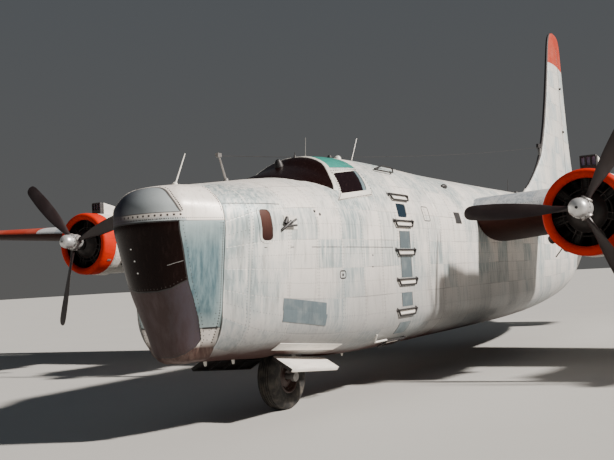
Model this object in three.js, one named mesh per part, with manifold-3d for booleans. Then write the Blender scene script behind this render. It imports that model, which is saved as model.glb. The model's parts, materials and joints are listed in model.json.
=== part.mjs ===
// Four-engined firefighting tanker aeroplane, rebuilt from a patrol bomber, parked on its nose-wheel gear.
// Millimetres. +X to the aircraft's left, -Y to the nose, +Z up. The ground is z = 0.
// Stations count aft from the nose tip and become y by the function yOf.
import * as THREE from 'three';
import Module from 'manifold-3d';
import { mergeVertices } from 'three/addons/utils/BufferGeometryUtils.js';

const wasm = await Module();
wasm.setup();

// Driving dimensions
const LENGTH = 22733;
const SPAN = 33530;
const HEIGHT = 9170;
const GAP = 0.3; // between pieces that touch
const SKIN = 30; // wall of the hollow fuselage
const ARC_STEPS = 12; // chords in each half of a fuselage ring

// Fuselage
const NOSE_SEAM = 700; // station where the nose joins the cockpit section
const FRONT_SEAM = 6400; // station where the cockpit section joins the tank section
const REAR_SEAM = 12900; // station where the tank section joins the rear section
const CONE_SEAM = 21900; // station where the rear section joins the tail cone

// Wing
const WING_ROOT_X = 1130;
const WING_TIP_X = SPAN / 2;
const ROOT_CHORD = 4270;
const TIP_CHORD = 1600;
const ROOT_LEADING_EDGE = 8450; // station
const WING_ROOT_Z = 2800; // height of the leading edge at the root
const SWEEP = THREE.MathUtils.degToRad(3.3);
const DIHEDRAL = THREE.MathUtils.degToRad(3.3);
const INCIDENCE = THREE.MathUtils.degToRad(3);
const CONTROL_GAP = 75; // from the aileron's hinge line forward to the wall in front of it
const AILERON_END_GAP = 28;
const FLAP_GAP = 6;

// Engines
const PROPELLER_RADIUS = 1921;
const COWL_RADIUS = 704;
const INNER_ENGINE_X = 3514;
const OUTER_ENGINE_X = 7640;
const INNER_HUB_STATION = 6350;
const INNER_HUB_Z = 2665;
const COWL_DROP = 45; // the engine's axis below the hub's place

// Landing gear
const MAIN_WHEEL_RADIUS = 711;
const MAIN_WHEEL_X = 3905;
const MAIN_WHEEL_STATION = 10300;
const NOSE_WHEEL_RADIUS = 457;
const NOSE_WHEEL_STATION = 2915;

const yOf = (station) => station - LENGTH / 2;
const model = new THREE.Group();

const COLOURS = {
  aluminium: { color: 0xb9b8b2, roughness: 0.45, metalness: 0.8 },
  steel: { color: 0x8c9298, roughness: 0.4, metalness: 0.9 },
  darkGlass: { color: 0x17110f, roughness: 0.12, metalness: 0.0 },
  greenGlass: { color: 0x3f8f74, roughness: 0.3, metalness: 0.0 },
  orange: { color: 0xd4421a, roughness: 0.5, metalness: 0.1 },
  blackMetal: { color: 0x201f20, roughness: 0.6, metalness: 0.4 },
  white: { color: 0xd9d6cd, roughness: 0.55, metalness: 0.2 },
  rubber: { color: 0x1b1a19, roughness: 0.9, metalness: 0.0 },
  leather: { color: 0x3a352f, roughness: 0.8, metalness: 0.0 },
};

// Rows of a table as objects with its column names
const readTable = (columns, rows) => rows.map(
  (row) => Object.fromEntries(columns.map((name, i) => [name, row[i]])));

function addNode(name, geometry, look) {
  const mesh = new THREE.Mesh(geometry, new THREE.MeshStandardMaterial(COLOURS[look]));
  mesh.name = name;
  model.add(mesh);
  return mesh;
}

// Solids: geometry to manifold and back
function toSolid(geometry) {
  const bare = new THREE.BufferGeometry();
  bare.setAttribute('position', geometry.getAttribute('position').clone());
  if (geometry.index) bare.setIndex(geometry.index.clone());
  const merged = mergeVertices(bare, 1e-3);
  const vertProperties = new Float32Array(merged.getAttribute('position').array);
  const triVerts = new Uint32Array(merged.index.array);
  return new wasm.Manifold(new wasm.Mesh({ numProp: 3, vertProperties, triVerts }));
}

function toGeometry(solid) {
  const mesh = solid.getMesh();
  const geometry = new THREE.BufferGeometry();
  geometry.setAttribute('position', new THREE.BufferAttribute(new Float32Array(mesh.vertProperties), 3));
  geometry.setIndex(new THREE.BufferAttribute(new Uint32Array(mesh.triVerts), 1));
  return geometry;
}

function signedVolume(points, faces) {
  let volume = 0;
  for (let i = 0; i < faces.length; i += 3) {
    const [a, b, c] = [points[faces[i]], points[faces[i + 1]], points[faces[i + 2]]];
    volume += a.x * (b.y * c.z - b.z * c.y);
    volume += a.y * (b.z * c.x - b.x * c.z);
    volume += a.z * (b.x * c.y - b.y * c.x);
  }
  return volume;
}

// A closed skin over rings of equal point count, with a fan on each end ring
function loft(rings) {
  const count = rings[0].length;
  const points = rings.flat();
  const faces = [];
  for (let r = 0; r < rings.length - 1; r++) {
    for (let i = 0; i < count; i++) {
      const a = r * count + i;
      const b = r * count + ((i + 1) % count);
      faces.push(a, b, b + count, a, b + count, a + count);
    }
  }
  for (const [r, flip] of [[0, true], [rings.length - 1, false]]) {
    const centre = new THREE.Vector3();
    rings[r].forEach((p) => centre.addScaledVector(p, 1 / count));
    points.push(centre);
    const c = points.length - 1;
    for (let i = 0; i < count; i++) {
      const a = r * count + i;
      const b = r * count + ((i + 1) % count);
      faces.push(...(flip ? [c, b, a] : [c, a, b]));
    }
  }
  if (signedVolume(points, faces) < 0) faces.reverse();
  const geometry = new THREE.BufferGeometry();
  const places = points.flatMap((p) => p.toArray());
  geometry.setAttribute('position', new THREE.Float32BufferAttribute(places, 3));
  geometry.setIndex(faces);
  return geometry;
}

const loftSolid = (rings) => toSolid(loft(rings));

// Boxes from low and high corners, and prisms from an outline on one plane
function boxSolid(low, high) {
  const size = high.map((v, i) => v - low[i]);
  const box = new THREE.BoxGeometry(...size);
  box.translate(...low.map((v, i) => v + size[i] / 2));
  return toSolid(box);
}

function prismSolid(outline, low, high, place) {
  const ring = (depth) => outline.map(([a, b]) => new THREE.Vector3(...place(a, b, depth)));
  return loftSolid([ring(low), ring(high)]);
}

const sidePrism = (outline, low, high) => prismSolid(outline, low, high, (s, z, x) => [x, yOf(s), z]);
const frontPrism = (outline, low, high) => prismSolid(outline, low, high, (x, z, s) => [x, yOf(s), z]);
const planPrism = (outline, low, high) => prismSolid(outline, low, high, (x, s, z) => [x, yOf(s), z]);

function shrunk(outline, gap) {
  const centre = [0, 1].map((k) => outline.reduce((sum, p) => sum + p[k], 0) / outline.length);
  return outline.map(([a, b]) => {
    const reach = Math.hypot(a - centre[0], b - centre[1]);
    const scale = 1 - (2 * gap) / reach;
    return [centre[0] + (a - centre[0]) * scale, centre[1] + (b - centre[1]) * scale];
  });
}

// A round bar between two points
function barSolid(from, to, radius, sides = 12) {
  const a = new THREE.Vector3(...from);
  const b = new THREE.Vector3(...to);
  const rod = new THREE.CylinderGeometry(radius, radius, a.distanceTo(b), sides);
  rod.applyQuaternion(new THREE.Quaternion().setFromUnitVectors(
    new THREE.Vector3(0, 1, 0), b.clone().sub(a).normalize()));
  rod.translate(...a.clone().add(b).multiplyScalar(0.5).toArray());
  return toSolid(rod);
}

// A turned body: profile of [radius, distance], its axis along `axis` through `centre`
function turnedSolid(profile, centre, axis, sides) {
  const lathe = new THREE.LatheGeometry(profile.map(([r, d]) => new THREE.Vector2(r, d)), sides);
  lathe.applyQuaternion(new THREE.Quaternion().setFromUnitVectors(
    new THREE.Vector3(0, 1, 0), new THREE.Vector3(...axis)));
  lathe.translate(...centre);
  const solid = toSolid(lathe);
  if (solid.volume() > 0) return solid;
  const index = lathe.index.array;
  index.reverse();
  return toSolid(lathe);
}

const union = (solids) => solids.reduce((sum, solid) => sum.add(solid));
const largest = (solid) => solid.decompose().sort((a, b) => b.volume() - a.volume())[0];

// Fuselage rings. Half widths at the shoulder and the bilge, their heights, crown, keel, and the powers of
// the arcs above and below (2 is an ellipse, more is squarer).
const HULL_COLUMNS = [
  'station', 'halfTop', 'shoulder', 'halfLow', 'bilge', 'crown', 'keel', 'topPower', 'lowPower',
];
const HULL_ROWS = [
  [700, 740, 2450, 640, 1500, 3005, 890, 2.6, 2.2],
  [1200, 985, 2430, 880, 1450, 3065, 860, 2.5, 2.2],
  [2000, 1095, 2440, 1040, 1380, 3165, 800, 2.3, 2.2],
  [3000, 1128, 2450, 1110, 1320, 3285, 705, 2.15, 2.2],
  [3450, 1130, 2450, 1125, 1300, 3420, 670, 2.0, 2.2],
  [3850, 1130, 2450, 1130, 1290, 3590, 645, 2.0, 2.2],
  [4300, 1130, 2450, 1130, 1280, 3680, 630, 2.0, 2.2],
  [5400, 1130, 2450, 1130, 1270, 3700, 620, 2.0, 2.2],
  [8000, 1130, 2450, 1130, 1270, 3665, 620, 2.0, 2.2],
  [11000, 1130, 2450, 1130, 1290, 3675, 630, 2.0, 2.2],
  [12900, 1125, 2460, 1105, 1360, 3690, 670, 2.0, 2.15],
  [14500, 1080, 2490, 1035, 1450, 3702, 740, 2.0, 2.1],
  [16000, 1000, 2540, 930, 1560, 3715, 840, 2.0, 2.0],
  [17500, 880, 2610, 780, 1720, 3720, 1000, 2.0, 2.0],
  [19000, 745, 2700, 600, 1960, 3715, 1300, 2.0, 2.0],
  [20400, 600, 2790, 440, 2280, 3685, 1750, 2.0, 2.0],
  [21400, 490, 2860, 350, 2560, 3630, 2120, 2.0, 2.0],
  [21900, 430, 2900, 320, 2700, 3560, 2310, 2.0, 2.0],
  [22350, 330, 2940, 260, 2820, 3400, 2520, 2.0, 2.0],
  [22620, 190, 2960, 160, 2900, 3200, 2710, 2.0, 2.0],
  [22733, 60, 2970, 60, 2950, 3030, 2890, 2.0, 2.0],
];
const HULL = readTable(HULL_COLUMNS, HULL_ROWS);

function sectionAt(station) {
  const next = HULL.find((row) => row.station >= station) ?? HULL[HULL.length - 1];
  const last = HULL[Math.max(HULL.indexOf(next) - 1, 0)];
  const t = next === last ? 0 : (station - last.station) / (next.station - last.station);
  return Object.fromEntries(HULL_COLUMNS.map((name) => [name, last[name] + t * (next[name] - last[name])]));
}

// One ring from the port shoulder over the crown to starboard and back under the keel
function hullRing(section, inset = 0) {
  const ring = [];
  const arc = (half, spring, reach, power, start) => {
    for (let i = 0; i <= ARC_STEPS; i++) {
      const angle = start + (Math.PI * i) / ARC_STEPS;
      const across = Math.cos(angle);
      const up = Math.abs(Math.sin(angle));
      ring.push(new THREE.Vector3(
        Math.sign(across) * half * Math.abs(across) ** (2 / power),
        yOf(section.station),
        spring + reach * (up < 1e-9 ? 0 : up) ** (2 / power)));
    }
  };
  const { halfTop, shoulder, halfLow, bilge, crown, keel, topPower, lowPower } = section;
  arc(halfTop - inset, shoulder, crown - inset - shoulder, topPower, 0);
  arc(halfLow - inset, bilge, keel + inset - bilge, lowPower, Math.PI);
  return ring;
}

// The hull between two stations, its wall moved in by `inset`; `reach` lengthens both ends for a cutter
function hullSolid(from, to, inset = 0, reach = 0) {
  const between = HULL.filter((row) => row.station > from + 1 && row.station < to - 1);
  const rings = [sectionAt(from), ...between, sectionAt(to)].map((row) => hullRing(row, inset));
  rings[0].forEach((p) => { p.y -= reach; });
  rings[rings.length - 1].forEach((p) => { p.y += reach; });
  return loftSolid(rings);
}

// Canopy that stands out of the deck: the height it springs from, half width, crown, power of its arc
const CANOPY_COLUMNS = ['station', 'spring', 'half', 'crown', 'power'];
const CANOPY_ROWS = [
  [2400, 2900, 500, 3160, 1.85],
  [2600, 2900, 800, 3265, 1.85],
  [2770, 2900, 800, 3320, 1.85],
  [2970, 2900, 855, 3376, 1.85],
  [3200, 2880, 940, 3450, 1.8],
  [3500, 2750, 1000, 3605, 1.95],
  [3850, 2450, 1100, 3648, 2.25],
  [4300, 2450, 1120, 3672, 2.0],
];
const CANOPY = readTable(CANOPY_COLUMNS, CANOPY_ROWS);

function canopyRing({ station, spring, half, crown, power }, inset) {
  return Array.from({ length: ARC_STEPS + 1 }, (_, i) => {
    const angle = (Math.PI * i) / ARC_STEPS;
    const across = Math.cos(angle);
    const up = Math.abs(Math.sin(angle));
    return new THREE.Vector3(
      Math.sign(across) * (half - inset) * Math.abs(across) ** (2 / power),
      yOf(station),
      spring + (crown - inset - spring) * (up < 1e-9 ? 0 : up) ** (2 / power));
  });
}

function canopySolid(inset = 0) {
  return loftSolid(CANOPY.map((row) => canopyRing(row, inset)));
}

// Nose: level outlines. Height, station of the front, radius of the front arc, half width where the arc
// ends, half width at the seam with the cockpit section.
const NOSE_COLUMNS = ['height', 'front', 'radius', 'edge', 'seam'];
const NOSE_ROWS = [
  [897, 520, 240, 150, 200],
  [940, 440, 300, 250, 385],
  [1050, 385, 350, 330, 480],
  [1220, 335, 400, 375, 560],
  [1500, 235, 480, 415, 640],
  [1790, 135, 560, 450, 668],
  [2250, 50, 710, 485, 715],
  [2500, 0, 765, 504, 738],
  [2700, 10, 782, 514, 705],
  [2850, 80, 673, 439, 600],
  [2950, 227, 561, 349, 465],
  [2988, 438, 422, 230, 300],
  [2999, 560, 260, 90, 130],
];
const NOSE = readTable(NOSE_COLUMNS, NOSE_ROWS);
const NOSE_ARC_STEPS = 10;
const NOSE_SILL = [[450, 1870], [300, 1785], [150, 1755], [-150, 1755], [-300, 1785], [-450, 1870]];
const NOSE_WINDOW_TOP = [[-470, 2150], [-487, 2535], [487, 2535], [470, 2150]];
const NOSE_PANEL_EDGE = [
  [-442, 1640], [-425, 1440], [-395, 1270], [-375, 1180], [-325, 1095], [-235, 1025], [-120, 985],
  [120, 985], [235, 1025], [325, 1095], [375, 1180], [395, 1270], [425, 1440], [442, 1640],
];

function noseRing(row, inset, reach) {
  const radius = row.radius - inset;
  const edge = row.edge * (radius / row.radius);
  const centre = row.front + row.radius;
  const seamY = yOf(NOSE_SEAM) + reach;
  const half = Math.asin(edge / radius);
  const ring = [new THREE.Vector3(row.seam - inset, seamY, row.height)];
  for (let i = 0; i <= NOSE_ARC_STEPS; i++) {
    const angle = half - (2 * half * i) / NOSE_ARC_STEPS;
    const station = centre - radius * Math.cos(angle);
    ring.push(new THREE.Vector3(radius * Math.sin(angle), yOf(station), row.height));
  }
  ring.push(new THREE.Vector3(inset - row.seam, seamY, row.height));
  return ring;
}

function noseSolid(inset, reach) {
  const rows = inset === 0 ? NOSE : NOSE.slice(1, -1).map((row) => ({ ...row }));
  if (inset > 0) {
    rows[0].height += inset / 2;
    rows[rows.length - 1].height -= inset / 2;
  }
  return loftSolid(rows.map((row) => noseRing(row, inset, reach)));
}

function buildNose() {
  const shell = noseSolid(0, -GAP).subtract(noseSolid(SKIN, 60));
  const window = [...NOSE_SILL, ...NOSE_WINDOW_TOP];
  const panel = [...NOSE_SILL, ...NOSE_PANEL_EDGE];
  const reach = [-50, NOSE_SEAM - 20];
  let rest = shell;
  for (const [name, outline, look] of [
    ['nose_window', window, 'darkGlass'],
    ['nose_lower_panel', panel, 'aluminium'],
  ]) {
    addNode(name, toGeometry(shell.intersect(frontPrism(shrunk(outline, GAP), ...reach))), look);
    rest = rest.subtract(frontPrism(outline, ...reach));
  }
  addNode('nose_shell', toGeometry(rest), 'aluminium');
}

// Cockpit section, side outlines as [station, height]
const WINDSCREEN = [
  [2300, 3080], [2900, 3000], [3120, 3010], [3260, 3200], [3460, 3450], [3530, 3563], [3600, 3640],
  [3600, 3850], [2300, 3850],
];
const SIDE_WINDOW = [[3240, 2970], [3400, 3290], [4080, 3380], [3940, 3055]];
const ROOF_PANEL = [
  [3440, 3383], [4240, 3432], [4300, 3571], [4340, 3850], [3660, 3850], [3660, 3640], [3575, 3554],
  [3520, 3490],
];
const OVAL_WINDOW = [
  [1155, 2335], [1155, 2600], [1200, 2660], [1263, 2660], [1308, 2600], [1308, 2335], [1263, 2287],
  [1200, 2287],
];
const STEP_WINDOW = [[4750, 2675], [4780, 2895], [5140, 2895], [5090, 2675]];
const NOSE_BAY = { from: 2000, to: 3720, half: 500 };
const FLOOR_Z = 1950;

function buildCockpit() {
  const deck = (grow) => hullSolid(NOSE_SEAM - 10, FRONT_SEAM + 10, -grow);
  const inner = hullSolid(NOSE_SEAM, FRONT_SEAM, SKIN, 50).add(canopySolid(SKIN));
  const whole = hullSolid(NOSE_SEAM, FRONT_SEAM).add(canopySolid()).subtract(inner);
  const out = 1300;
  const portSide = [600, out];
  const windscreenCut = sidePrism(WINDSCREEN, -out, out).subtract(deck(0));
  const windscreen = sidePrism(shrunk(WINDSCREEN, GAP), -out, out).subtract(deck(2 * GAP));
  addNode('windscreen', toGeometry(largest(whole.intersect(windscreen))), 'darkGlass');
  const glass = [
    ['cockpit_roof_panel', ROOF_PANEL, [-out, out], 'greenGlass'],
    ['side_window_left', SIDE_WINDOW, portSide, 'darkGlass'],
    ['side_window_right', SIDE_WINDOW, [-out, -600], 'darkGlass'],
    ['nose_side_window_left', OVAL_WINDOW, portSide, 'darkGlass'],
  ];
  let shell = whole.subtract(windscreenCut).subtract(sidePrism(STEP_WINDOW, 900, out));
  for (const [name, outline, [low, high], look] of glass) {
    addNode(name, toGeometry(largest(whole.intersect(sidePrism(shrunk(outline, GAP), low, high)))), look);
    shell = shell.subtract(sidePrism(outline, low, high));
  }
  const bay = boxSolid([-NOSE_BAY.half, yOf(NOSE_BAY.from), 400], [NOSE_BAY.half, yOf(NOSE_BAY.to), 1100]);
  addNode('fuselage_cockpit_section', toGeometry(largest(shell.subtract(bay))), 'aluminium');

  const inside = hullSolid(NOSE_SEAM + 60, FRONT_SEAM - 60, SKIN + GAP);
  const floor = boxSolid([-out, yOf(900), FLOOR_Z - 40], [out, yOf(FRONT_SEAM - 100), FLOOR_Z]);
  addNode('cockpit_floor', toGeometry(inside.intersect(floor)), 'blackMetal');
  const wall = boxSolid([-out, yOf(5450), FLOOR_Z + GAP], [out, yOf(5490), 3900]);
  const doorway = boxSolid([-350, yOf(5400), FLOOR_Z - 10], [350, yOf(5550), 3500]);
  addNode('cockpit_bulkhead', toGeometry(inside.intersect(wall).subtract(doorway)), 'blackMetal');
  const sill = FLOOR_Z + 450;
  const panel = sidePrism([[3230, sill], [3420, sill], [3400, 2900], [3290, 2900]], -800, 800);
  const stalk = boxSolid([-150, yOf(3240), FLOOR_Z + GAP], [150, yOf(3400), FLOOR_Z + 500]);
  addNode('instrument_panel', toGeometry(panel.add(stalk)), 'blackMetal');
  for (const [side, x] of [['left', 450], ['right', -450]]) {
    const chair = [[3700, 2300], [3700, 2430], [4130, 2400], [4210, 3080], [4330, 3080], [4250, 2270]];
    const seat = sidePrism(chair, x - 220, x + 220);
    const stand = boxSolid([x - 120, yOf(3800), FLOOR_Z + GAP], [x + 120, yOf(4100), 2320]);
    addNode(`cockpit_seat_${side}`, toGeometry(seat.add(stand)), 'leather');
  }
}

// Tank section with four drop doors under it; doors as [name, side, from station, to station]
const DOOR = { inner: 15, hinge: 470, skin: 35, recess: 75, play: 12 };
const DROP_DOORS = [
  ['drop_door_front_left', 1, 8700, 10500],
  ['drop_door_front_right', -1, 8700, 10500],
  ['drop_door_rear_left', 1, 10600, 12400],
  ['drop_door_rear_right', -1, 10600, 12400],
];

function buildTankSection() {
  const outer = hullSolid(FRONT_SEAM + GAP, REAR_SEAM - GAP);
  const depth = (amount, reach) => hullSolid(FRONT_SEAM + GAP, REAR_SEAM - GAP, amount, reach);
  const low = 400;
  const high = 900;
  let body = outer.subtract(depth(SKIN, 50));
  const tray = outer.subtract(depth(DOOR.recess + SKIN, 50)).intersect(
    boxSolid([-DOOR.hinge - 120, yOf(8600), low], [DOOR.hinge + 120, yOf(12500), high]));
  body = body.add(tray);
  const pocket = depth(-5, 0).subtract(depth(DOOR.recess, 50));
  const leaf = outer.subtract(depth(DOOR.skin, 50));
  for (const [name, side, from, to] of DROP_DOORS) {
    const xs = [side * DOOR.inner, side * DOOR.hinge].sort((a, b) => a - b);
    const room = [side * 2, side * (DOOR.hinge + DOOR.play)].sort((a, b) => a - b);
    body = body.subtract(pocket.intersect(
      boxSolid([room[0], yOf(from), low], [room[1], yOf(to), high])));
    addNode(name, toGeometry(leaf.intersect(
      boxSolid([xs[0], yOf(from + DOOR.play), low], [xs[1], yOf(to - DOOR.play), high]))), 'aluminium');
  }
  addNode('fuselage_tank_section', toGeometry(body), 'aluminium');
}

function buildRear() {
  const outer = hullSolid(REAR_SEAM, CONE_SEAM);
  const inside = hullSolid(REAR_SEAM, CONE_SEAM - 60, SKIN);
  const mouth = boxSolid([-950, yOf(REAR_SEAM) - 50, 1100], [950, yOf(REAR_SEAM) + 40, 3200]);
  addNode('fuselage_rear_section', toGeometry(outer.subtract(inside.add(mouth))), 'aluminium');
  addNode('tail_cone', toGeometry(hullSolid(CONE_SEAM + GAP, LENGTH)), 'aluminium');
}

// Aerofoil: thickness shape of the four-digit family, upper side then lower side, from [fraction of chord]
const CHORD_STEPS = [1, 0.85, 0.7, 0.55, 0.4, 0.25, 0.12, 0.045, 0.01];
const EDGE_THICKNESS = 5; // half the blunt trailing edge

function halfThickness(x, ratio) {
  return 5 * ratio * (0.2969 * Math.sqrt(x) - 0.126 * x - 0.3516 * x ** 2 + 0.2843 * x ** 3 - 0.1036 * x ** 4);
}

// Points [along, across] of a section of unit slope, growing by `grow` all round
function aerofoil(chord, ratio, camber, grow = 0) {
  const side = (x, sign) => {
    const lift = camber * chord * 4 * x * (1 - x);
    const half = Math.max(halfThickness(x, ratio) * chord, EDGE_THICKNESS) + grow;
    return [x * chord + (x === 1 ? grow : 0), lift + sign * half];
  };
  const upper = CHORD_STEPS.map((x) => side(x, 1));
  const lower = CHORD_STEPS.slice().reverse().map((x) => side(x, -1));
  return [...upper, [-grow, 0], ...lower];
}

// Wing stations from root to tip: fraction of the half span, thickness ratio, chord factor for the round tip
const WING_COLUMNS = ['at', 'ratio', 'round'];
const WING_ROWS = [
  [-0.04, 0.215, 1],
  [0, 0.215, 1],
  [0.25, 0.195, 1],
  [0.5, 0.17, 1],
  [0.75, 0.14, 1],
  [0.94, 0.115, 1],
  [0.975, 0.105, 0.86],
  [0.993, 0.085, 0.62],
  [1, 0.05, 0.38],
];
const WING = readTable(WING_COLUMNS, WING_ROWS);
const CAMBER = 0.02;
const WING_REACH = WING_TIP_X - WING_ROOT_X;

function wingPlace(at) {
  const outboard = at * WING_REACH;
  return {
    x: WING_ROOT_X + outboard,
    chord: ROOT_CHORD + at * (TIP_CHORD - ROOT_CHORD),
    leading: ROOT_LEADING_EDGE + outboard * Math.tan(SWEEP),
    z: WING_ROOT_Z + outboard * Math.tan(DIHEDRAL),
  };
}

function wingRing({ at, ratio, round }, side, grow) {
  const place = wingPlace(at);
  const chord = place.chord * round;
  const leading = place.leading + 0.55 * (place.chord - chord);
  return aerofoil(chord, ratio, CAMBER, grow).map(([along, up]) => new THREE.Vector3(
    side * place.x,
    yOf(leading + along * Math.cos(INCIDENCE) + up * Math.sin(INCIDENCE)),
    place.z - along * Math.sin(INCIDENCE) + up * Math.cos(INCIDENCE)));
}

const wingSolid = (side, grow = 0) => loftSolid(WING.map((row) => wingRing(row, side, grow)));

// Hinge lines and panels behind them: fractions of the half span, and of the chord at the hinge
const FLAP = { from: 0.006, to: 0.47, chord: 0.76 };
const AILERON = { from: 0.5, to: 0.935, chord: 0.77 };

function hingePoint(at, chordFraction) {
  const place = wingPlace(at);
  const along = chordFraction * place.chord;
  return [place.x, place.leading + along * Math.cos(INCIDENCE), place.z - along * Math.sin(INCIDENCE)];
}

// Plan outline behind a hinge line, its front moved forward by `ahead` and its ends out by `wide`
function panelOutline(side, { from, to, chord }, ahead, wide) {
  const [x0, s0] = hingePoint(from, chord);
  const [x1, s1] = hingePoint(to, chord);
  const slope = (s1 - s0) / (x1 - x0);
  const xa = x0 - wide;
  const xb = x1 + wide;
  const sa = s0 + wide * slope - ahead;
  const sb = s1 + wide * slope - ahead;
  return [[xa, sa], [xb, sb], [xb, 14000], [xa, 14000]].map(([x, s]) => [side * x, s]);
}

function buildWing(side, label, hullCut) {
  const whole = wingSolid(side).subtract(hullCut);
  const cut = (panel, ahead, wide) => planPrism(panelOutline(side, panel, ahead, wide), 1500, 5000);
  const gaps = cut(FLAP, FLAP_GAP, FLAP_GAP).add(cut(AILERON, CONTROL_GAP, AILERON_END_GAP));
  const box = whole.subtract(gaps);
  addNode(`wing_${label}`, toGeometry(box), 'aluminium');
  addNode(`flap_${label}`, toGeometry(whole.intersect(cut(FLAP, 0, 0))), 'aluminium');
  addNode(`aileron_${label}`, toGeometry(whole.intersect(cut(AILERON, 0, 0))), 'aluminium');
}

// Fin and rudder as level slices: height, leading edge, trailing edge, thickness
const FIN_COLUMNS = ['height', 'leading', 'trailing', 'thickness'];
const FIN_ROWS = [
  [3350, 15050, 21950, 330],
  [3760, 15560, 21950, 320],
  [4080, 16240, 21900, 315],
  [4500, 16960, 21750, 305],
  [5000, 17600, 21530, 290],
  [6050, 18320, 21290, 260],
  [7550, 18980, 21090, 205],
  [8200, 19220, 21030, 175],
  [8700, 19420, 20980, 140],
  [8930, 19570, 20920, 115],
  [9080, 19780, 20820, 80],
  [HEIGHT, 20080, 20620, 40],
];
const FIN = readTable(FIN_COLUMNS, FIN_ROWS);
const RUDDER = { hinge: 20350, bottom: 3900, top: 8720, ahead: 58 };

function finRing({ height, leading, trailing, thickness }) {
  const chord = trailing - leading;
  return aerofoil(chord, thickness / chord, 0).map(([along, across]) => new THREE.Vector3(
    across, yOf(leading + along), height));
}

function buildFin(hullCut) {
  const whole = loftSolid(FIN.map(finRing)).subtract(hullCut);
  const cut = (ahead, wide) => boxSolid(
    [-400, yOf(RUDDER.hinge - ahead), RUDDER.bottom - wide], [400, yOf(22600), RUDDER.top + wide]);
  addNode('rudder', toGeometry(whole.intersect(cut(0, 0))), 'aluminium');
  addNode('fin', toGeometry(whole.subtract(cut(RUDDER.ahead, 8))), 'aluminium');
}

// Tailplane: half span stations with leading edge, trailing edge and thickness
const TAIL_COLUMNS = ['x', 'leading', 'trailing', 'thickness'];
const TAIL_ROWS = [
  [0.1, 18450, 21250, 330],
  [600, 18520, 21240, 320],
  [3300, 18900, 20980, 190],
  [3900, 19050, 20850, 130],
  [4120, 19350, 20600, 60],
];
const TAIL = readTable(TAIL_COLUMNS, TAIL_ROWS);
const TAIL_Z = 3300;
const ELEVATOR = { hinge: 20250, inner: 720, outer: 3960, ahead: 62 };

function buildTailplane(hullCut, finCut) {
  const half = (side) => loftSolid(TAIL.map(({ x, leading, trailing, thickness }) => {
    const chord = trailing - leading;
    return aerofoil(chord, thickness / chord, 0).map(([along, up]) => new THREE.Vector3(
      side * x, yOf(leading + along), TAIL_Z + up));
  }));
  for (const [side, label] of [[1, 'left'], [-1, 'right']]) {
    const whole = half(side).subtract(hullCut).subtract(finCut);
    const cut = (ahead, wide) => {
      const xs = [side * (ELEVATOR.inner - wide), side * (ELEVATOR.outer + wide)].sort((a, b) => a - b);
      return boxSolid([xs[0], yOf(ELEVATOR.hinge - ahead), 2900], [xs[1], yOf(22000), 3700]);
    };
    addNode(`elevator_${label}`, toGeometry(whole.intersect(cut(0, 0))), 'aluminium');
    addNode(`tailplane_${label}`, toGeometry(whole.subtract(cut(ELEVATOR.ahead, 8))), 'aluminium');
  }
}

// Engines from the aircraft's left to its right: number, x, blade angle at rest in degrees
const ENGINES = [
  { number: 1, x: OUTER_ENGINE_X, blade: 100 },
  { number: 2, x: INNER_ENGINE_X, blade: 177.5 },
  { number: 3, x: -INNER_ENGINE_X, blade: 30 },
  { number: 4, x: -OUTER_ENGINE_X, blade: 135.5 },
].map((engine) => {
  const outboard = Math.abs(engine.x) - INNER_ENGINE_X;
  return {
    ...engine,
    station: INNER_HUB_STATION + outboard * Math.tan(SWEEP),
    z: INNER_HUB_Z + outboard * Math.tan(DIHEDRAL),
    axis: INNER_HUB_Z - COWL_DROP + outboard * Math.tan(DIHEDRAL),
  };
});

// Distances behind the hub station
const COWL_FRONT = 250;
const COWL_BACK = 620;
const COWL_MOUTH = 565;
const CYLINDERS = 7;

function buildPropeller({ number, x, station, z, blade }) {
  const hub = turnedSolid([
    [0, -350], [85, -335], [140, -270], [150, -120], [120, -100], [165, -50], [165, 90], [120, 190], [0, 190],
  ], [x, yOf(station), z], [0, 1, 0], 12);
  // Blade sections: radius, chord, thickness, twist in degrees
  const rows = [[130, 150, 110, 0], [330, 170, 100, 42], [650, 270, 68, 36], [1250, 300, 40, 24],
    [PROPELLER_RADIUS - 140, 262, 22, 16], [PROPELLER_RADIUS - 35, 190, 14, 15],
    [PROPELLER_RADIUS, 90, 10, 15]];
  const rings = rows.map(([radius, chord, thick, twist]) => {
    const outline = [[0.5, 0], [0.15, 0.5], [-0.3, 0.42], [-0.5, 0], [-0.25, -0.4], [0.2, -0.4]];
    const turn = THREE.MathUtils.degToRad(twist);
    return outline.map(([a, b]) => {
      const u = a * chord;
      const v = b * thick;
      return new THREE.Vector3(
        radius, v * Math.cos(turn) - u * Math.sin(turn), u * Math.cos(turn) + v * Math.sin(turn));
    });
  });
  const blades = [0, 120, 240].map((step) => {
    const geometry = loft(rings);
    geometry.rotateY(-THREE.MathUtils.degToRad(blade + step));
    geometry.translate(x, yOf(station + 20), z);
    return toSolid(geometry);
  });
  addNode(`propeller_${number}`, toGeometry(union([hub, ...blades])), 'blackMetal');
}

function buildEngine({ number, x, station, axis: z }) {
  const centre = [x, yOf(station), z];
  const crankcase = turnedSolid([
    [0, 200], [120, 200], [230, 280], [320, 400], [320, 1150], [0, 1150],
  ], centre, [0, 1, 0], 12);
  const cylinders = [];
  for (let row = 0; row < 2; row++) {
    for (let i = 0; i < CYLINDERS; i++) {
      const angle = ((i + row / 2) * 2 * Math.PI) / CYLINDERS;
      const y = yOf(station + 540 + row * 260);
      const at = (radius) => [x + radius * Math.sin(angle), y, z + radius * Math.cos(angle)];
      cylinders.push(barSolid(at(250), at(610), 95, 6));
    }
  }
  addNode(`engine_${number}`, toGeometry(union([crankcase, ...cylinders])), 'steel');
}

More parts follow.
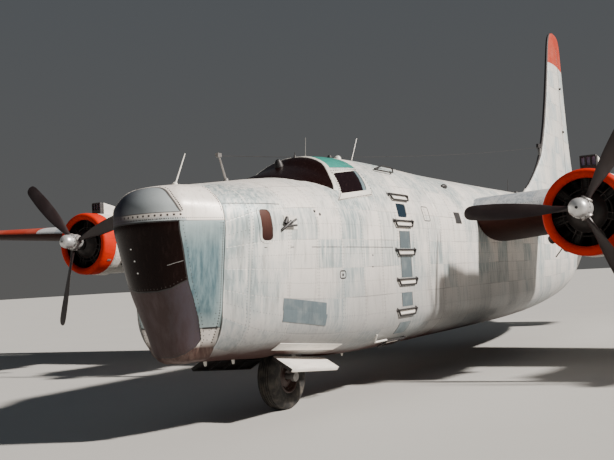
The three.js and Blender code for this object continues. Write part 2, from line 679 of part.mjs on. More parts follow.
function buildCowl({ number, x, station, axis: z }) {
  const inner = COWL_RADIUS - 30;
  const ring = turnedSolid([
    [COWL_MOUTH, COWL_FRONT + 60], [COWL_RADIUS - 75, COWL_FRONT],
    [COWL_RADIUS - 20, COWL_FRONT + 30], [COWL_RADIUS, COWL_FRONT + 120], [COWL_RADIUS, COWL_BACK],
    [inner, COWL_BACK], [inner, COWL_FRONT + 130], [COWL_MOUTH, COWL_FRONT + 60],
  ], [x, yOf(station), z], [0, 1, 0], 24);
  addNode(`cowl_ring_${number}`, toGeometry(ring), 'orange');
}

// Nacelle rings behind the cowl: distance behind the hub, half width, height above and below the thrust line
const NACELLE_COLUMNS = ['back', 'half', 'up', 'down'];
const NACELLE_ROWS = [
  [COWL_BACK + 2, 700, 700, 700],
  [1430, 690, 720, 690],
  [2030, 650, 740, 640],
  [2930, 560, 640, 540],
  [3830, 420, 470, 420],
  [4630, 230, 300, 300],
  [5030, 60, 170, 160],
];
const NACELLE = readTable(NACELLE_COLUMNS, NACELLE_ROWS);
const NACELLE_SIDES = 16;
const SCOOP = { from: 750, to: 2030, half: 170, low: 770, high: 985, mouth: 40 };

function buildNacelle({ number, x, station, axis: z }, wingCut) {
  const ring = ({ back, half, up, down }, inset = 0) => Array.from({ length: NACELLE_SIDES }, (_, i) => {
    const angle = (2 * Math.PI * i) / NACELLE_SIDES;
    const reach = (Math.sin(angle) >= 0 ? up : down) - inset;
    return new THREE.Vector3(
      x + (half - inset) * Math.cos(angle), yOf(station + back), z + reach * Math.sin(angle));
  });
  const body = loftSolid(NACELLE.map((row) => ring(row)));
  const [first] = NACELLE;
  const hollowFront = ring({ ...first, back: COWL_BACK - 50 }, 35);
  const inside = loftSolid([hollowFront, ring({ ...first, back: 1290 }, 60)]);
  const top = [[SCOOP.from, 400], [SCOOP.from, SCOOP.high - 20], [SCOOP.from + 500, SCOOP.high],
    [SCOOP.to, 700], [SCOOP.to, 400]];
  const scoop = sidePrism(top.map(([back, up]) => [station + back, z + up]), x - SCOOP.half, x + SCOOP.half);
  const mouthHalf = SCOOP.half - SCOOP.mouth;
  const mouth = boxSolid(
    [x - mouthHalf, yOf(station + SCOOP.from - 20), z + SCOOP.low + SCOOP.mouth],
    [x + mouthHalf, yOf(station + SCOOP.from + 260), z + SCOOP.high - 20 - SCOOP.mouth]);
  const solid = body.add(scoop).subtract(inside).subtract(mouth).subtract(wingCut);
  addNode(`nacelle_${number}`, toGeometry(largest(solid)), 'white');
}

// Wheels: a tyre and its rim in one turned piece, axle hole clear of the axle
function wheelSolid(centre, radius, half, rim, bore, sides) {
  return turnedSolid([
    [bore, -half * 0.55], [rim * 0.75, -half * 0.55], [rim, -half * 0.86], [radius * 0.84, -half],
    [radius, -half * 0.4], [radius, half * 0.4], [radius * 0.84, half], [rim, half * 0.86],
    [rim * 0.75, half * 0.55], [bore, half * 0.55], [bore, -half * 0.55],
  ], centre, [1, 0, 0], sides);
}

const MAIN = { half: 225, rim: 330, bore: 72, axle: 64, legX: 345, legTop: 2700 };
const NOSE_GEAR = { half: 150, rim: 235, bore: 48, axle: 40, armX: 205, crown: 1040, legTop: FLOOR_Z - 60 };

function buildMainGear(wingCuts) {
  for (const [side, label] of [[1, 'left'], [-1, 'right']]) {
    const y = yOf(MAIN_WHEEL_STATION);
    const z = MAIN_WHEEL_RADIUS;
    const x = side * MAIN_WHEEL_X;
    const legX = x + side * MAIN.legX;
    const wheel = wheelSolid([x, y, z], z, MAIN.half, MAIN.rim, MAIN.bore, 24);
    addNode(`main_wheel_${label}`, toGeometry(wheel), 'rubber');
    const leg = union([
      barSolid([x - side * 150, y, z], [legX + side * 60, y, z], MAIN.axle, 12),
      barSolid([legX, y, z - 110], [legX, y, 1500], 82, 12),
      barSolid([legX, y, 1450], [legX, y - 60, MAIN.legTop], 120, 12),
      barSolid([legX, y, 1250], [legX, y + 900, 2600], 45, 8),
      barSolid([legX, y, 1550], [legX + side * 700, y, 2700], 50, 8),
    ]);
    addNode(`main_leg_${label}`, toGeometry(leg.subtract(wingCuts[label])), 'steel');
  }
}

function buildNoseGear() {
  const y = yOf(NOSE_WHEEL_STATION);
  const z = NOSE_WHEEL_RADIUS;
  const { half, rim, bore, axle, armX, crown, legTop } = NOSE_GEAR;
  addNode('nose_wheel', toGeometry(wheelSolid([0, y, z], NOSE_WHEEL_RADIUS, half, rim, bore, 28)), 'rubber');
  const fork = union([
    barSolid([-armX - 35, y, z], [armX + 35, y, z], axle, 12),
    ...[1, -1].map((side) => barSolid([side * armX, y, z - 60], [side * armX, y, crown - 20], 34, 8)),
    boxSolid([-armX - 40, y - 70, crown - 60], [armX + 40, y + 70, crown]),
  ]);
  addNode('nose_fork', toGeometry(fork), 'steel');
  const leg = union([
    barSolid([0, y, crown + 6], [0, y, legTop], 75, 12),
    barSolid([0, y, crown + 260], [0, y + 620, legTop - 60], 40, 8),
  ]);
  addNode('nose_leg', toGeometry(leg), 'steel');
}

// Nose gear doors, open as parked: hinge at the bay's edge, hanging outward and down
const BAY_DOOR = {
  x: NOSE_BAY.half + 22,
  thick: 50,
  droop: THREE.MathUtils.degToRad(30),
  front: { station: 1900, z: 850, width: 335 },
  rear: { station: 3230, z: 690, width: 276 },
};

function buildNoseDoors() {
  const { x, thick, droop, front, rear } = BAY_DOOR;
  for (const [side, label] of [[1, 'left'], [-1, 'right']]) {
    const ring = ({ station, z, width }) => [
      [0, 0], [width, 0], [width, thick], [0, thick],
    ].map(([out, down]) => new THREE.Vector3(
      side * (x + out * Math.cos(droop) - down * Math.sin(droop)),
      yOf(station),
      z - out * Math.sin(droop) - down * Math.cos(droop)));
    addNode(`nose_gear_door_${label}`, toGeometry(loftSolid([ring(front), ring(rear)])), 'white');
  }
}

// Cutters that leave a gap to the piece they stand for
const hullCut = hullSolid(FRONT_SEAM - 500, LENGTH, -GAP);
const wingCuts = { left: wingSolid(1, GAP), right: wingSolid(-1, GAP) };

buildNose();
buildCockpit();
buildTankSection();
buildRear();
buildWing(1, 'left', hullCut);
buildWing(-1, 'right', hullCut);
buildFin(hullCut);
const finCut = loftSolid(FIN.map((row) => finRing({ ...row, thickness: row.thickness + 2 * GAP })));
buildTailplane(hullCut, finCut);
for (const engine of ENGINES) {
  buildPropeller(engine);
  buildEngine(engine);
  buildCowl(engine);
  buildNacelle(engine, engine.x > 0 ? wingCuts.left : wingCuts.right);
}
buildMainGear(wingCuts);
buildNoseGear();
buildNoseDoors();

export default model;
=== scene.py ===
# The looks of a four-engined firefighting tanker aeroplane, drawn over its solids.
# Metres. +X to the aircraft's left, -Y to the nose, +Z up. Stations count aft from the nose tip.
import json
import math

import bmesh
import bpy
from mathutils import Matrix, Vector

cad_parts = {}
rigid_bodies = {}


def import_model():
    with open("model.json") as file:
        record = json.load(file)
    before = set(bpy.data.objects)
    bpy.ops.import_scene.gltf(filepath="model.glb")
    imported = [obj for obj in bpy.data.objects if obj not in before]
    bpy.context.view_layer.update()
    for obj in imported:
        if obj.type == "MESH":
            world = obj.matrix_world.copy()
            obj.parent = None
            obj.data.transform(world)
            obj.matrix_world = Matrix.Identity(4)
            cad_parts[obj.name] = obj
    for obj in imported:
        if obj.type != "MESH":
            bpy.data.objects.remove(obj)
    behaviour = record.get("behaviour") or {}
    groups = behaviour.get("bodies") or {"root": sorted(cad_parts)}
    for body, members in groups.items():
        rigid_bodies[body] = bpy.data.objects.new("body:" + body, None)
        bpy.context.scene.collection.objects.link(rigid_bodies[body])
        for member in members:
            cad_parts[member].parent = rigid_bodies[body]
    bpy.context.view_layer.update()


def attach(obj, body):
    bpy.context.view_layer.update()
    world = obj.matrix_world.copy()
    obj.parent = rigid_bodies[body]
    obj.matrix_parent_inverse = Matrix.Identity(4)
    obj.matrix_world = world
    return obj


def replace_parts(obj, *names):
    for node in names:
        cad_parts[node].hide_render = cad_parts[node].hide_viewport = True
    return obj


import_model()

# Driving dimensions, as in the solids
LENGTH = 22.733
SPAN = 33.53
HEIGHT = 9.17
NOSE_SEAM = 0.7
FRONT_SEAM = 6.4
REAR_SEAM = 12.9
CONE_SEAM = 21.9
SKIN = 0.03
GAP = 0.0015
WING_ROOT_X = 1.13
WING_TIP_X = SPAN / 2
ROOT_CHORD = 4.27
TIP_CHORD = 1.6
ROOT_LEADING_EDGE = 8.45
WING_ROOT_Z = 2.8
SWEEP = math.radians(3.3)
DIHEDRAL = math.radians(3.3)
INCIDENCE = math.radians(3)
PROPELLER_RADIUS = 1.921
COWL_RADIUS = 0.704
INNER_ENGINE_X = 3.514
OUTER_ENGINE_X = 7.64
INNER_HUB = (6.350, 2.665)  # station and height
COWL_DROP = 0.045  # the engine's axis below the hub's place
MAIN_WHEEL = {"radius": 0.711, "x": 3.905, "station": 10.3}
NOSE_WHEEL = {"radius": 0.457, "station": 2.915}

# The photo's camera
CAMERA = {"place": (6.471, -18.700, 1.827), "yaw": 30.068, "pitch": 3.152, "roll": -3.143, "lens": 50.10}

SIDES = ((1, "left"), (-1, "right"))
LEFT, AFT, UP = (1, 0, 0), (0, 1, 0), (0, 0, 1)
FLOOR_SIZE = 400


def along(station):
    return station - LENGTH / 2


# Suns: name, where each shines from, strength, angle in degrees, colour
SUNS = (("key", (9.0, 1.6, 6.6), 8.2, 3.0, (1.0, 0.94, 0.87)),
        ("fill", (2.0, -9.0, 4.0), 0.06, 40.0, (0.86, 0.93, 1.0)))
# Pale at the horizon, bluer from this part of the way up
SKY = {"low": (0.80, 0.79, 0.77, 1), "high": (0.55, 0.66, 0.78, 1), "from": 0.6, "strength": 0.13}


# Camera and light
def make_camera():
    yaw, pitch, roll = (math.radians(CAMERA[k]) for k in ("yaw", "pitch", "roll"))
    ahead = Vector((-math.sin(yaw) * math.cos(pitch), math.cos(yaw) * math.cos(pitch), math.sin(pitch)))
    level = ahead.cross(Vector(UP)).normalized()
    above = level.cross(ahead)
    right = math.cos(roll) * level + math.sin(roll) * above
    up = -math.sin(roll) * level + math.cos(roll) * above
    data = bpy.data.cameras.new("camera")
    data.lens = CAMERA["lens"]
    data.sensor_width = 36
    data.clip_end = 500
    camera = bpy.data.objects.new("camera", data)
    bpy.context.scene.collection.objects.link(camera)
    turn = Matrix((right, up, -ahead)).transposed().to_4x4()
    camera.matrix_world = Matrix.Translation(CAMERA["place"]) @ turn
    bpy.context.scene.camera = camera


def make_light():
    world = bpy.data.worlds.new("studio")
    bpy.context.scene.world = world
    world.use_nodes = True
    tree = world.node_tree
    coords = tree.nodes.new("ShaderNodeTexCoord")
    split = tree.nodes.new("ShaderNodeSeparateXYZ")
    ramp = tree.nodes.new("ShaderNodeValToRGB")
    tree.links.new(coords.outputs["Generated"], split.inputs[0])
    tree.links.new(split.outputs["Z"], ramp.inputs[0])
    stops = ramp.color_ramp.elements
    stops[0].position, stops[0].color = 0.0, SKY["low"]
    stops[1].position, stops[1].color = SKY["from"], SKY["high"]
    tree.links.new(ramp.outputs[0], tree.nodes["Background"].inputs["Color"])
    tree.nodes["Background"].inputs["Strength"].default_value = SKY["strength"]
    for name, place, strength, angle, colour in SUNS:
        lamp = bpy.data.lights.new(name, "SUN")
        lamp.energy = strength
        lamp.angle = math.radians(angle)
        lamp.color = colour
        sun = bpy.data.objects.new(name, lamp)
        sun.rotation_euler = Vector(place).to_track_quat("Z", "Y").to_euler()
        bpy.context.scene.collection.objects.link(sun)


# Materials. Every one is made of nodes that read the shared frame's own coordinates.
class Shader:
    def __init__(self, name, metallic=0.0, roughness=None, **sockets):
        self.material = bpy.data.materials.new(name)
        self.material.use_nodes = True
        self.tree = self.material.node_tree
        self.surface = self.tree.nodes["Principled BSDF"]
        self.surface.inputs["Metallic"].default_value = metallic
        if roughness is not None:
            self.surface.inputs["Roughness"].default_value = roughness
        for socket, value in sockets.items():
            self.surface.inputs[socket.replace("_", " ")].default_value = value
        self.place = self.node("ShaderNodeTexCoord").outputs["Object"]
        x, y, z = self.node("ShaderNodeSeparateXYZ", self.place).outputs
        self.x, self.y, self.z = x, y, z

    def node(self, kind, *values, **settings):
        node = self.tree.nodes.new(kind)
        for key, value in settings.items():
            setattr(node, key, value)
        for socket, value in zip(node.inputs, values):
            self.feed(socket, value)
        return node

    def feed(self, socket, value):
        if isinstance(value, bpy.types.NodeSocket):
            self.tree.links.new(value, socket)
        elif value is not None:
            socket.default_value = value

    def math(self, operation, *values, clamp=False):
        return self.node("ShaderNodeMath", *values, operation=operation, use_clamp=clamp).outputs[0]

    def plus(self, a, b):
        return self.math("ADD", a, b)

    def minus(self, a, b):
        return self.math("SUBTRACT", a, b)

    def times(self, a, b):
        return self.math("MULTIPLY", a, b)

    def larger(self, a, b):
        return self.math("MAXIMUM", a, b)

    def rest(self, value):
        """What a value leaves of 1."""
        return self.math("SUBTRACT", 1.0, value)

    def vector(self, x, y, z):
        return self.node("ShaderNodeCombineXYZ", x, y, z).outputs[0]

    def stretched(self, x, y, z):
        return self.node("ShaderNodeVectorMath", self.place, (x, y, z), operation="MULTIPLY").outputs[0]

    def noise(self, scale, detail=4.0, place=None, roughness=0.55):
        node = self.node("ShaderNodeTexNoise")
        self.feed(node.inputs["Vector"], place or self.place)
        for key, value in (("Scale", scale), ("Detail", detail), ("Roughness", roughness)):
            node.inputs[key].default_value = value
        return node.outputs["Fac"]

    def cell(self, *coords):
        """A steady random value for each whole-number cell."""
        floors = [self.math("FLOOR", c) for c in coords] + [0.0] * (3 - len(coords))
        return self.node("ShaderNodeTexWhiteNoise", self.vector(*floors)).outputs["Value"]

    def band(self, value, low, high):
        """0 below low, 1 above high."""
        node = self.node("ShaderNodeMapRange", clamp=True)
        self.feed(node.inputs["Value"], value)
        node.inputs["From Min"].default_value = low
        node.inputs["From Max"].default_value = high
        return node.outputs[0]

    def mix(self, amount, a, b):
        node = self.node("ShaderNodeMix", data_type="RGBA")
        self.feed(node.inputs[0], amount)
        for socket, value in ((node.inputs[6], a), (node.inputs[7], b)):
            self.feed(socket, (*value, 1) if isinstance(value, tuple) else value)
        return node.outputs[2]

    def near(self, value, pitch, width):
        """1 on the lines that stand a pitch apart, falling to 0 at the width from them."""
        folded = self.math("PINGPONG", value, pitch / 2)
        return self.rest(self.band(folded, 0.0, width))

    def rivets(self, value, pitch, inset, other, spacing, radius):
        """1 in dots a spacing apart along both sides of the lines that stand a pitch apart."""
        folded = self.minus(self.math("PINGPONG", value, pitch / 2), inset)
        step = self.math("PINGPONG", other, spacing / 2)
        reach = self.math("SQRT",
                          self.plus(self.math("POWER", folded, 2.0), self.math("POWER", step, 2.0)))
        return self.rest(self.band(reach, radius * 0.6, radius))

    def finish(self, colour, roughness=None, bump=None, strength=0.3, distance=0.01):
        self.feed(self.surface.inputs["Base Color"], colour)
        if roughness is not None:
            self.feed(self.surface.inputs["Roughness"], roughness)
        if bump is not None:
            node = self.node("ShaderNodeBump")
            node.inputs["Strength"].default_value = strength
            node.inputs["Distance"].default_value = distance
            self.feed(node.inputs["Height"], bump)
            self.tree.links.new(node.outputs[0], self.surface.inputs["Normal"])
        return self.material


SHEET_SHINE = 0.2


def sheet_metal(name, frames, stringers, light, cool, dirt, lean="hull", wear=0.6):
    """Riveted, weathered sheet; frames and stringers are the pitches of its seams. On the hull its lower
    side and belly are darkened as painted shade.
    """
    s = Shader(name, metallic=SHEET_SHINE)
    if lean == "hull":
        u = s.y
        v = s.times(s.math("ARCTAN2", s.x, s.minus(s.z, 2.05)), 1.25)
        streak_scale = (6.0, 6.0, 0.7)
    elif lean == "wing":
        u, v = s.x, s.y
        streak_scale = (7.0, 0.7, 7.0)
    else:
        u, v = s.z, s.y
        streak_scale = (6.0, 6.0, 0.6)
    panel = s.cell(s.math("DIVIDE", u, frames), s.math("DIVIDE", v, stringers * 2))
    blotch = s.noise(0.9, 6.0)
    streak = s.noise(3.0, 5.0, s.stretched(*streak_scale), 0.65)
    fine = s.noise(38.0, 4.0)
    seams = s.larger(s.near(u, frames, 0.011), s.near(v, stringers * 2, 0.010))
    dots = s.larger(s.rivets(u, frames, 0.022, v, 0.045, 0.0085),
                    s.rivets(v, stringers, 0.0, u, 0.045, 0.0075))
    cold = s.math("ADD", s.band(blotch, 0.45, 0.66), s.times(s.band(panel, 0.45, 1.0), 0.8), clamp=True)
    cold = s.times(cold, s.band(streak, 0.26, 0.56))
    colour = s.mix(cold, light, cool)
    colour = s.mix(s.times(s.band(streak, 0.52, 0.8), wear), colour, dirt)
    colour = s.mix(s.times(s.band(fine, 0.55, 0.8), 0.18), colour, dirt)
    seam = s.mix(s.band(blotch, 0.40, 0.50), (0.14, 0.12, 0.11), light)
    colour = s.mix(s.times(seams, 0.5), colour, seam)
    colour = s.mix(s.times(dots, 0.75), colour, (0.06, 0.05, 0.045))
    if lean == "hull":
        # Painted shade: the hull darkens to grey towards its bottom
        lower = s.rest(s.band(s.plus(s.z, s.times(blotch, 0.8)), 1.45, 2.7))
        colour = s.mix(s.times(lower, 0.8), colour, (0.19, 0.195, 0.20))
        # The brown belly, darkened to near black as painted shade, starts lower down behind the nose
        lift = s.times(s.band(s.y, along(1.7), along(2.5)), 0.22)
        level = s.plus(s.plus(s.z, lift), s.times(blotch, 0.25))
        belly = s.rest(s.band(level, 1.08, 1.20))
        colour = s.mix(s.times(belly, 0.96), colour, (0.040, 0.012, 0.008))
        dull = s.rest(belly)
        s.feed(s.surface.inputs["Metallic"], s.times(dull, SHEET_SHINE))
        s.feed(s.surface.inputs["Specular IOR Level"], s.math("MULTIPLY_ADD", dull, 0.4, 0.1))
    rough = s.plus(s.times(fine, 0.25), s.times(panel, 0.12))
    rough = s.plus(rough, 0.30)
    waves = s.noise(2.6, 2.0)
    height = s.plus(s.times(dots, 0.35), s.times(waves, 1.1))
    height = s.minus(height, s.times(seams, 0.5))
    return s.finish(colour, rough, height, strength=0.45, distance=0.006)


def worn_paint(name, colour, worn, dirt, roughness=0.45, metallic=0.1, scale=1.6, amount=0.5,
               streaks=(6, 1, 6), specular=0.5):
    s = Shader(name, metallic=metallic, Specular_IOR_Level=specular)
    patch = s.noise(scale, 6.0)
    streak = s.noise(2.2, 5.0, s.stretched(*streaks), 0.65)
    fine = s.noise(45.0, 4.0)
    mixed = s.mix(s.times(s.band(patch, 0.45, 0.7), amount), colour, worn)
    mixed = s.mix(s.times(s.band(streak, 0.5, 0.78), amount), mixed, dirt)
    mixed = s.mix(s.times(s.band(fine, 0.6, 0.85), 0.3), mixed, dirt)
    rough = s.plus(s.times(fine, 0.25), roughness - 0.12)
    return s.finish(mixed, rough, s.plus(fine, s.times(patch, 2.0)), strength=0.2, distance=0.003)


def dark_glass(name, tint, streaks=0.25, roughness=0.12):
    s = Shader(name, metallic=0.0, Specular_IOR_Level=0.1)
    run = s.noise(3.5, 4.0, s.stretched(9.0, 9.0, 0.8), 0.6)
    dust = s.noise(30.0, 5.0)
    colour = s.mix(s.times(s.band(run, 0.55, 0.85), streaks), tint, (0.10, 0.06, 0.055))
    rough = s.plus(s.times(dust, 0.18), roughness)
    return s.finish(colour, rough)


def oval_glass():
    """Brown glass, lighter towards its top."""
    s = Shader("brown_window", Specular_IOR_Level=0.16)
    run = s.noise(5.0, 4.0, s.stretched(9.0, 9.0, 1.0), 0.6)
    height = s.plus(s.z, s.times(run, 0.12))
    colour = s.mix(s.band(height, 2.34, 2.76), (0.020, 0.006, 0.005), (0.105, 0.048, 0.038))
    return s.finish(colour, s.plus(s.times(run, 0.2), 0.25))


def lower_panel():
    """Silver sheet under the window, painted dark mauve as shade and blue-grey towards the port side as
    painted light.
    """
    s = Shader("mauve_panel_painted_shade", metallic=0.1)
    run = s.noise(2.2, 5.0, s.stretched(6.0, 6.0, 0.6), 0.6)
    fine = s.noise(45.0, 4.0)
    # Painted shade: dark mauve over the whole panel; painted light: blue-grey towards the port side
    colour = s.mix(s.band(run, 0.42, 0.72), (0.034, 0.014, 0.013), (0.058, 0.034, 0.037))
    side = s.band(s.plus(s.x, s.times(run, 0.3)), 0.30, 0.55)
    colour = s.mix(side, colour, (0.042, 0.032, 0.042))
    return s.finish(colour, s.plus(s.times(fine, 0.25), 0.38), fine, strength=0.2, distance=0.003)


def rubber(name):
    s = Shader(name)
    dust = s.noise(9.0, 6.0)
    fine = s.noise(70.0, 3.0)
    colour = s.mix(s.band(dust, 0.42, 0.75), (0.018, 0.017, 0.016), (0.10, 0.085, 0.07))
    return s.finish(colour, s.plus(s.times(fine, 0.2), 0.68), fine, strength=0.3, distance=0.002)


def make_materials():
    white, cool, brown = (0.90, 0.845, 0.785), (0.35, 0.43, 0.44), (0.15, 0.11, 0.085)
    m = {
        "hull": sheet_metal("hull_sheet", 0.61, 0.21, white, cool, brown),
        "wing": sheet_metal("wing_sheet", 0.72, 0.28, (0.66, 0.66, 0.66), (0.33, 0.38, 0.43),
                            (0.14, 0.12, 0.12), lean="wing"),
        "fin": sheet_metal("fin_sheet", 0.52, 0.24, (0.80, 0.77, 0.72), (0.38, 0.47, 0.50),
                           (0.25, 0.20, 0.17), lean="fin"),
        "cream": sheet_metal("cream_sheet", 0.9, 0.45, (0.80, 0.755, 0.68), (0.66, 0.66, 0.62),
                             (0.42, 0.33, 0.26), wear=0.35),
        "steel_blue": worn_paint("steel_blue_panel", (0.30, 0.41, 0.445), (0.50, 0.56, 0.57),
                                 (0.21, 0.27, 0.29), roughness=0.3, metallic=0.55, scale=1.1, amount=0.8,
                                 streaks=(9, 9, 0.5)),
        "mauve": lower_panel(),
        "glass": dark_glass("brown_black_glass", (0.007, 0.002, 0.0015), streaks=0.18, roughness=0.2),
        "side_glass": dark_glass("side_glass", (0.008, 0.004, 0.005), streaks=0.2),
        "blue_glass": dark_glass("blue_glass", (0.013, 0.024, 0.036), streaks=0.1),
        "brown_glass": oval_glass(),
        "green": worn_paint("sea_green_panel", (0.035, 0.27, 0.22), (0.10, 0.40, 0.34), (0.02, 0.15, 0.12),
                            roughness=0.3, scale=3.0),
        "orange": worn_paint("red_orange_paint", (0.55, 0.020, 0.002), (0.36, 0.010, 0.002),
                             (0.14, 0.007, 0.003), roughness=0.6, specular=0.15, metallic=0.0, scale=2.0,
                             amount=0.45),
        "white": worn_paint("weathered_white", (0.74, 0.715, 0.66), (0.52, 0.53, 0.52), (0.30, 0.25, 0.21),
                            roughness=0.5, scale=1.4, amount=0.55),
        "black": worn_paint("black_paint", (0.022, 0.02, 0.021), (0.05, 0.045, 0.045),
                            (0.09, 0.075, 0.065), roughness=0.5, scale=4.0),
        "boot": worn_paint("leading_edge_boot", (0.012, 0.008, 0.009), (0.022, 0.017, 0.018),
                           (0.04, 0.032, 0.03), roughness=0.6, metallic=0.0, scale=2.0, amount=0.4),
        "rim": worn_paint("dark_rim", (0.045, 0.022, 0.018), (0.08, 0.05, 0.04), (0.02, 0.014, 0.012)),
        "blade": worn_paint("dark_blade", (0.024, 0.015, 0.015), (0.05, 0.04, 0.042),
                            (0.015, 0.012, 0.011), roughness=0.38, metallic=0.1, scale=3.0),
        "silver": worn_paint("bright_hub", (0.66, 0.66, 0.65), (0.48, 0.48, 0.48), (0.22, 0.20, 0.19),
                             roughness=0.36, metallic=0.6, scale=7.0, amount=0.3),
        "steel": worn_paint("gear_steel", (0.34, 0.33, 0.32), (0.22, 0.20, 0.19), (0.14, 0.10, 0.08),
                            roughness=0.4, metallic=0.7, scale=5.0),
        "iron": worn_paint("engine_iron", (0.030, 0.027, 0.026), (0.06, 0.05, 0.045),
                           (0.018, 0.016, 0.015), roughness=0.55, metallic=0.6, scale=8.0),
        "dark_rivet": worn_paint("dark_rivet", (0.035, 0.025, 0.022), (0.08, 0.06, 0.05),
                                 (0.02, 0.015, 0.013)),
        "tyre": rubber("tyre_rubber"),
        "cabin": worn_paint("cabin_paint", (0.03, 0.033, 0.03), (0.06, 0.06, 0.055), (0.02, 0.018, 0.016)),
        "seat": worn_paint("seat_cover", (0.07, 0.05, 0.035), (0.12, 0.09, 0.065), (0.03, 0.025, 0.02),
                           roughness=0.7, metallic=0.0, scale=6.0),
        # Painted shade: the wings' underside drawn near-black brown
        "wing_under": worn_paint("wing_underside_painted_shade", (0.034, 0.011, 0.008), (0.05, 0.024, 0.020),
                                 (0.018, 0.008, 0.006), roughness=0.7, metallic=0.0, scale=0.9, amount=0.7,
                                 specular=0.12),
        "well": worn_paint("foot_well", (0.115, 0.150, 0.168), (0.24, 0.275, 0.28), (0.074, 0.095, 0.108),
                           roughness=0.45, metallic=0.3, scale=4.0, amount=0.7, streaks=(9, 9, 0.6)),
        "orange_worn": worn_paint("worn_orange", (0.40, 0.034, 0.012), (0.46, 0.11, 0.07),
                                  (0.20, 0.022, 0.012), roughness=0.5, metallic=0.0, scale=1.6,
                                  amount=0.6),
        "door": worn_paint("door_paint", (0.84, 0.80, 0.74), (0.62, 0.62, 0.60), (0.40, 0.33, 0.27),
                           roughness=0.5, scale=1.8),
        "slot": worn_paint("slot_blue_grey", (0.30, 0.30, 0.46), (0.38, 0.38, 0.50), (0.14, 0.14, 0.20)),
        "lamp": dark_glass("lamp_glass", (0.75, 0.74, 0.70), streaks=0.2, roughness=0.15),
    }
    return m


# Meshes
def piece_from(mesh, name, body, slot, *materials, angle=32):
    piece = bpy.data.objects.new(name, mesh)
    bpy.context.scene.collection.objects.link(piece)
    for polygon in mesh.polygons:
        polygon.use_smooth = True
    mesh.set_sharp_from_angle(angle=math.radians(angle))
    for material in materials:
        mesh.materials.append(material)
    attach(piece, body)
    return piece


def skin(rings, capped=True, name="skin"):
    """A mesh over rings of equal point count, its faces pointing out."""
    count = len(rings[0])
    points = [p for ring in rings for p in ring]
    faces = []
    for r in range(len(rings) - 1):
        for i in range(count):
            a = r * count + i
            b = r * count + (i + 1) % count
            faces.append((a, b, b + count, a + count))
    if capped:
        faces.append(tuple(range(count))[::-1])
        faces.append(tuple(range((len(rings) - 1) * count, len(rings) * count)))
    mesh = bpy.data.meshes.new(name)
    mesh.from_pydata([tuple(p) for p in points], [], faces)
    tidy(mesh)
    return mesh


def tidy(mesh):
    bm = bmesh.new()
    bm.from_mesh(mesh)
    bmesh.ops.remove_doubles(bm, verts=bm.verts, dist=1e-5)
    bmesh.ops.recalc_face_normals(bm, faces=bm.faces)
    bm.to_mesh(mesh)
    bm.free()


def cut(mesh, other, operation):
    """The join, cut or overlap of two closed meshes."""
    objects = [bpy.data.objects.new("cutting", m) for m in (mesh, other)]
    for o in objects:
        bpy.context.scene.collection.objects.link(o)
    modifier = objects[0].modifiers.new("cut", "BOOLEAN")
    modifier.operation = operation
    modifier.solver = "MANIFOLD"
    modifier.object = objects[1]
    bpy.context.view_layer.update()
    made = bpy.data.meshes.new_from_object(objects[0].evaluated_get(bpy.context.evaluated_depsgraph_get()))
    for o in objects:
        bpy.data.objects.remove(o)
    made.materials.clear()
    return made


def less(mesh, other):
    return cut(mesh, other, "DIFFERENCE")


def within(mesh, other):
    return cut(mesh, other, "INTERSECT")


def fused(mesh, other):
    return cut(mesh, other, "UNION")


def prism(outline, low, high, place):
    return skin([[place(a, b, depth) for a, b in outline] for depth in (low, high)], name="cutter")


def side_prism(outline, low, high):
    return prism(outline, low, high, lambda s, z, x: (x, along(s), z))


def plan_prism(outline, low, high):
    return prism(outline, low, high, lambda x, s, z: (x, along(s), z))


def corners(low, high):
    return [(low[0], low[1]), (high[0], low[1]), (high[0], high[1]), (low[0], high[1])]


def box_mesh(low, high):
    return plan_prism(corners(low, high), low[2], high[2])


def joined(meshes):
    bm = bmesh.new()
    for mesh in meshes:
        bm.from_mesh(mesh)
    made = bpy.data.meshes.new("joined")
    bm.to_mesh(made)
    bm.free()
    return made


def around(count):
    """Evenly spaced angles of a full turn."""
    return [2 * math.pi * k / count for k in range(count)]


def spoke(angle):
    """A direction square to the aircraft's length."""
    return Vector((math.cos(angle), 0, math.sin(angle)))


def tube(path, radius, sides=10):
    """A round bar along a path of points, its ends capped."""
    path = [Vector(p) for p in path]
    rings = []
    side = None
    for i, p in enumerate(path):
        before = path[i - 1] if i else p
        after = path[i + 1] if i + 1 < len(path) else p
        way = (after - before).normalized()
        if side is None:
            side = way.orthogonal().normalized()
        side = (side - side.dot(way) * way).normalized()
        other = way.cross(side)
        r = radius[i] if isinstance(radius, (list, tuple)) else radius
        rings.append([p + r * (math.cos(t) * side + math.sin(t) * other) for t in around(sides)])
    return skin(rings, name="tube")


def turned(profile, centre, axis, sides=64):
    """A turned body from [radius, distance] pairs; a profile off the axis closes on itself."""
    turn = Vector(UP).rotation_difference(Vector(axis)).to_matrix()
    centre = Vector(centre)
    rings = [[centre + turn @ Vector((r * math.cos(t), r * math.sin(t), d)) for t in around(sides)]
             for r, d in profile]
    if profile[0][0] > 0:
        rings.append(rings[0])
    return skin(rings, capped=False, name="turned")


def drum(centre, axis, radius, low, high, sides):
    """A plain cylinder between two distances along its axis."""
    return turned([(0, low), (radius, low), (radius, high), (0, high)], centre, axis, sides)


def rounded(outline, radius, steps=4):
    """An outline with its corners rounded by arcs."""
    made = []
    for i, corner in enumerate(outline):
        here = Vector(corner)
        before = Vector(outline[i - 1]) - here
        after = Vector(outline[(i + 1) % len(outline)]) - here
        reach = min(radius, before.length / 2.2, after.length / 2.2)
        a, b = here + before.normalized() * reach, here + after.normalized() * reach
        for k in range(steps + 1):
            t = k / steps
            made.append(tuple((1 - t) ** 2 * a + 2 * t * (1 - t) * here + t * t * b))
    return made


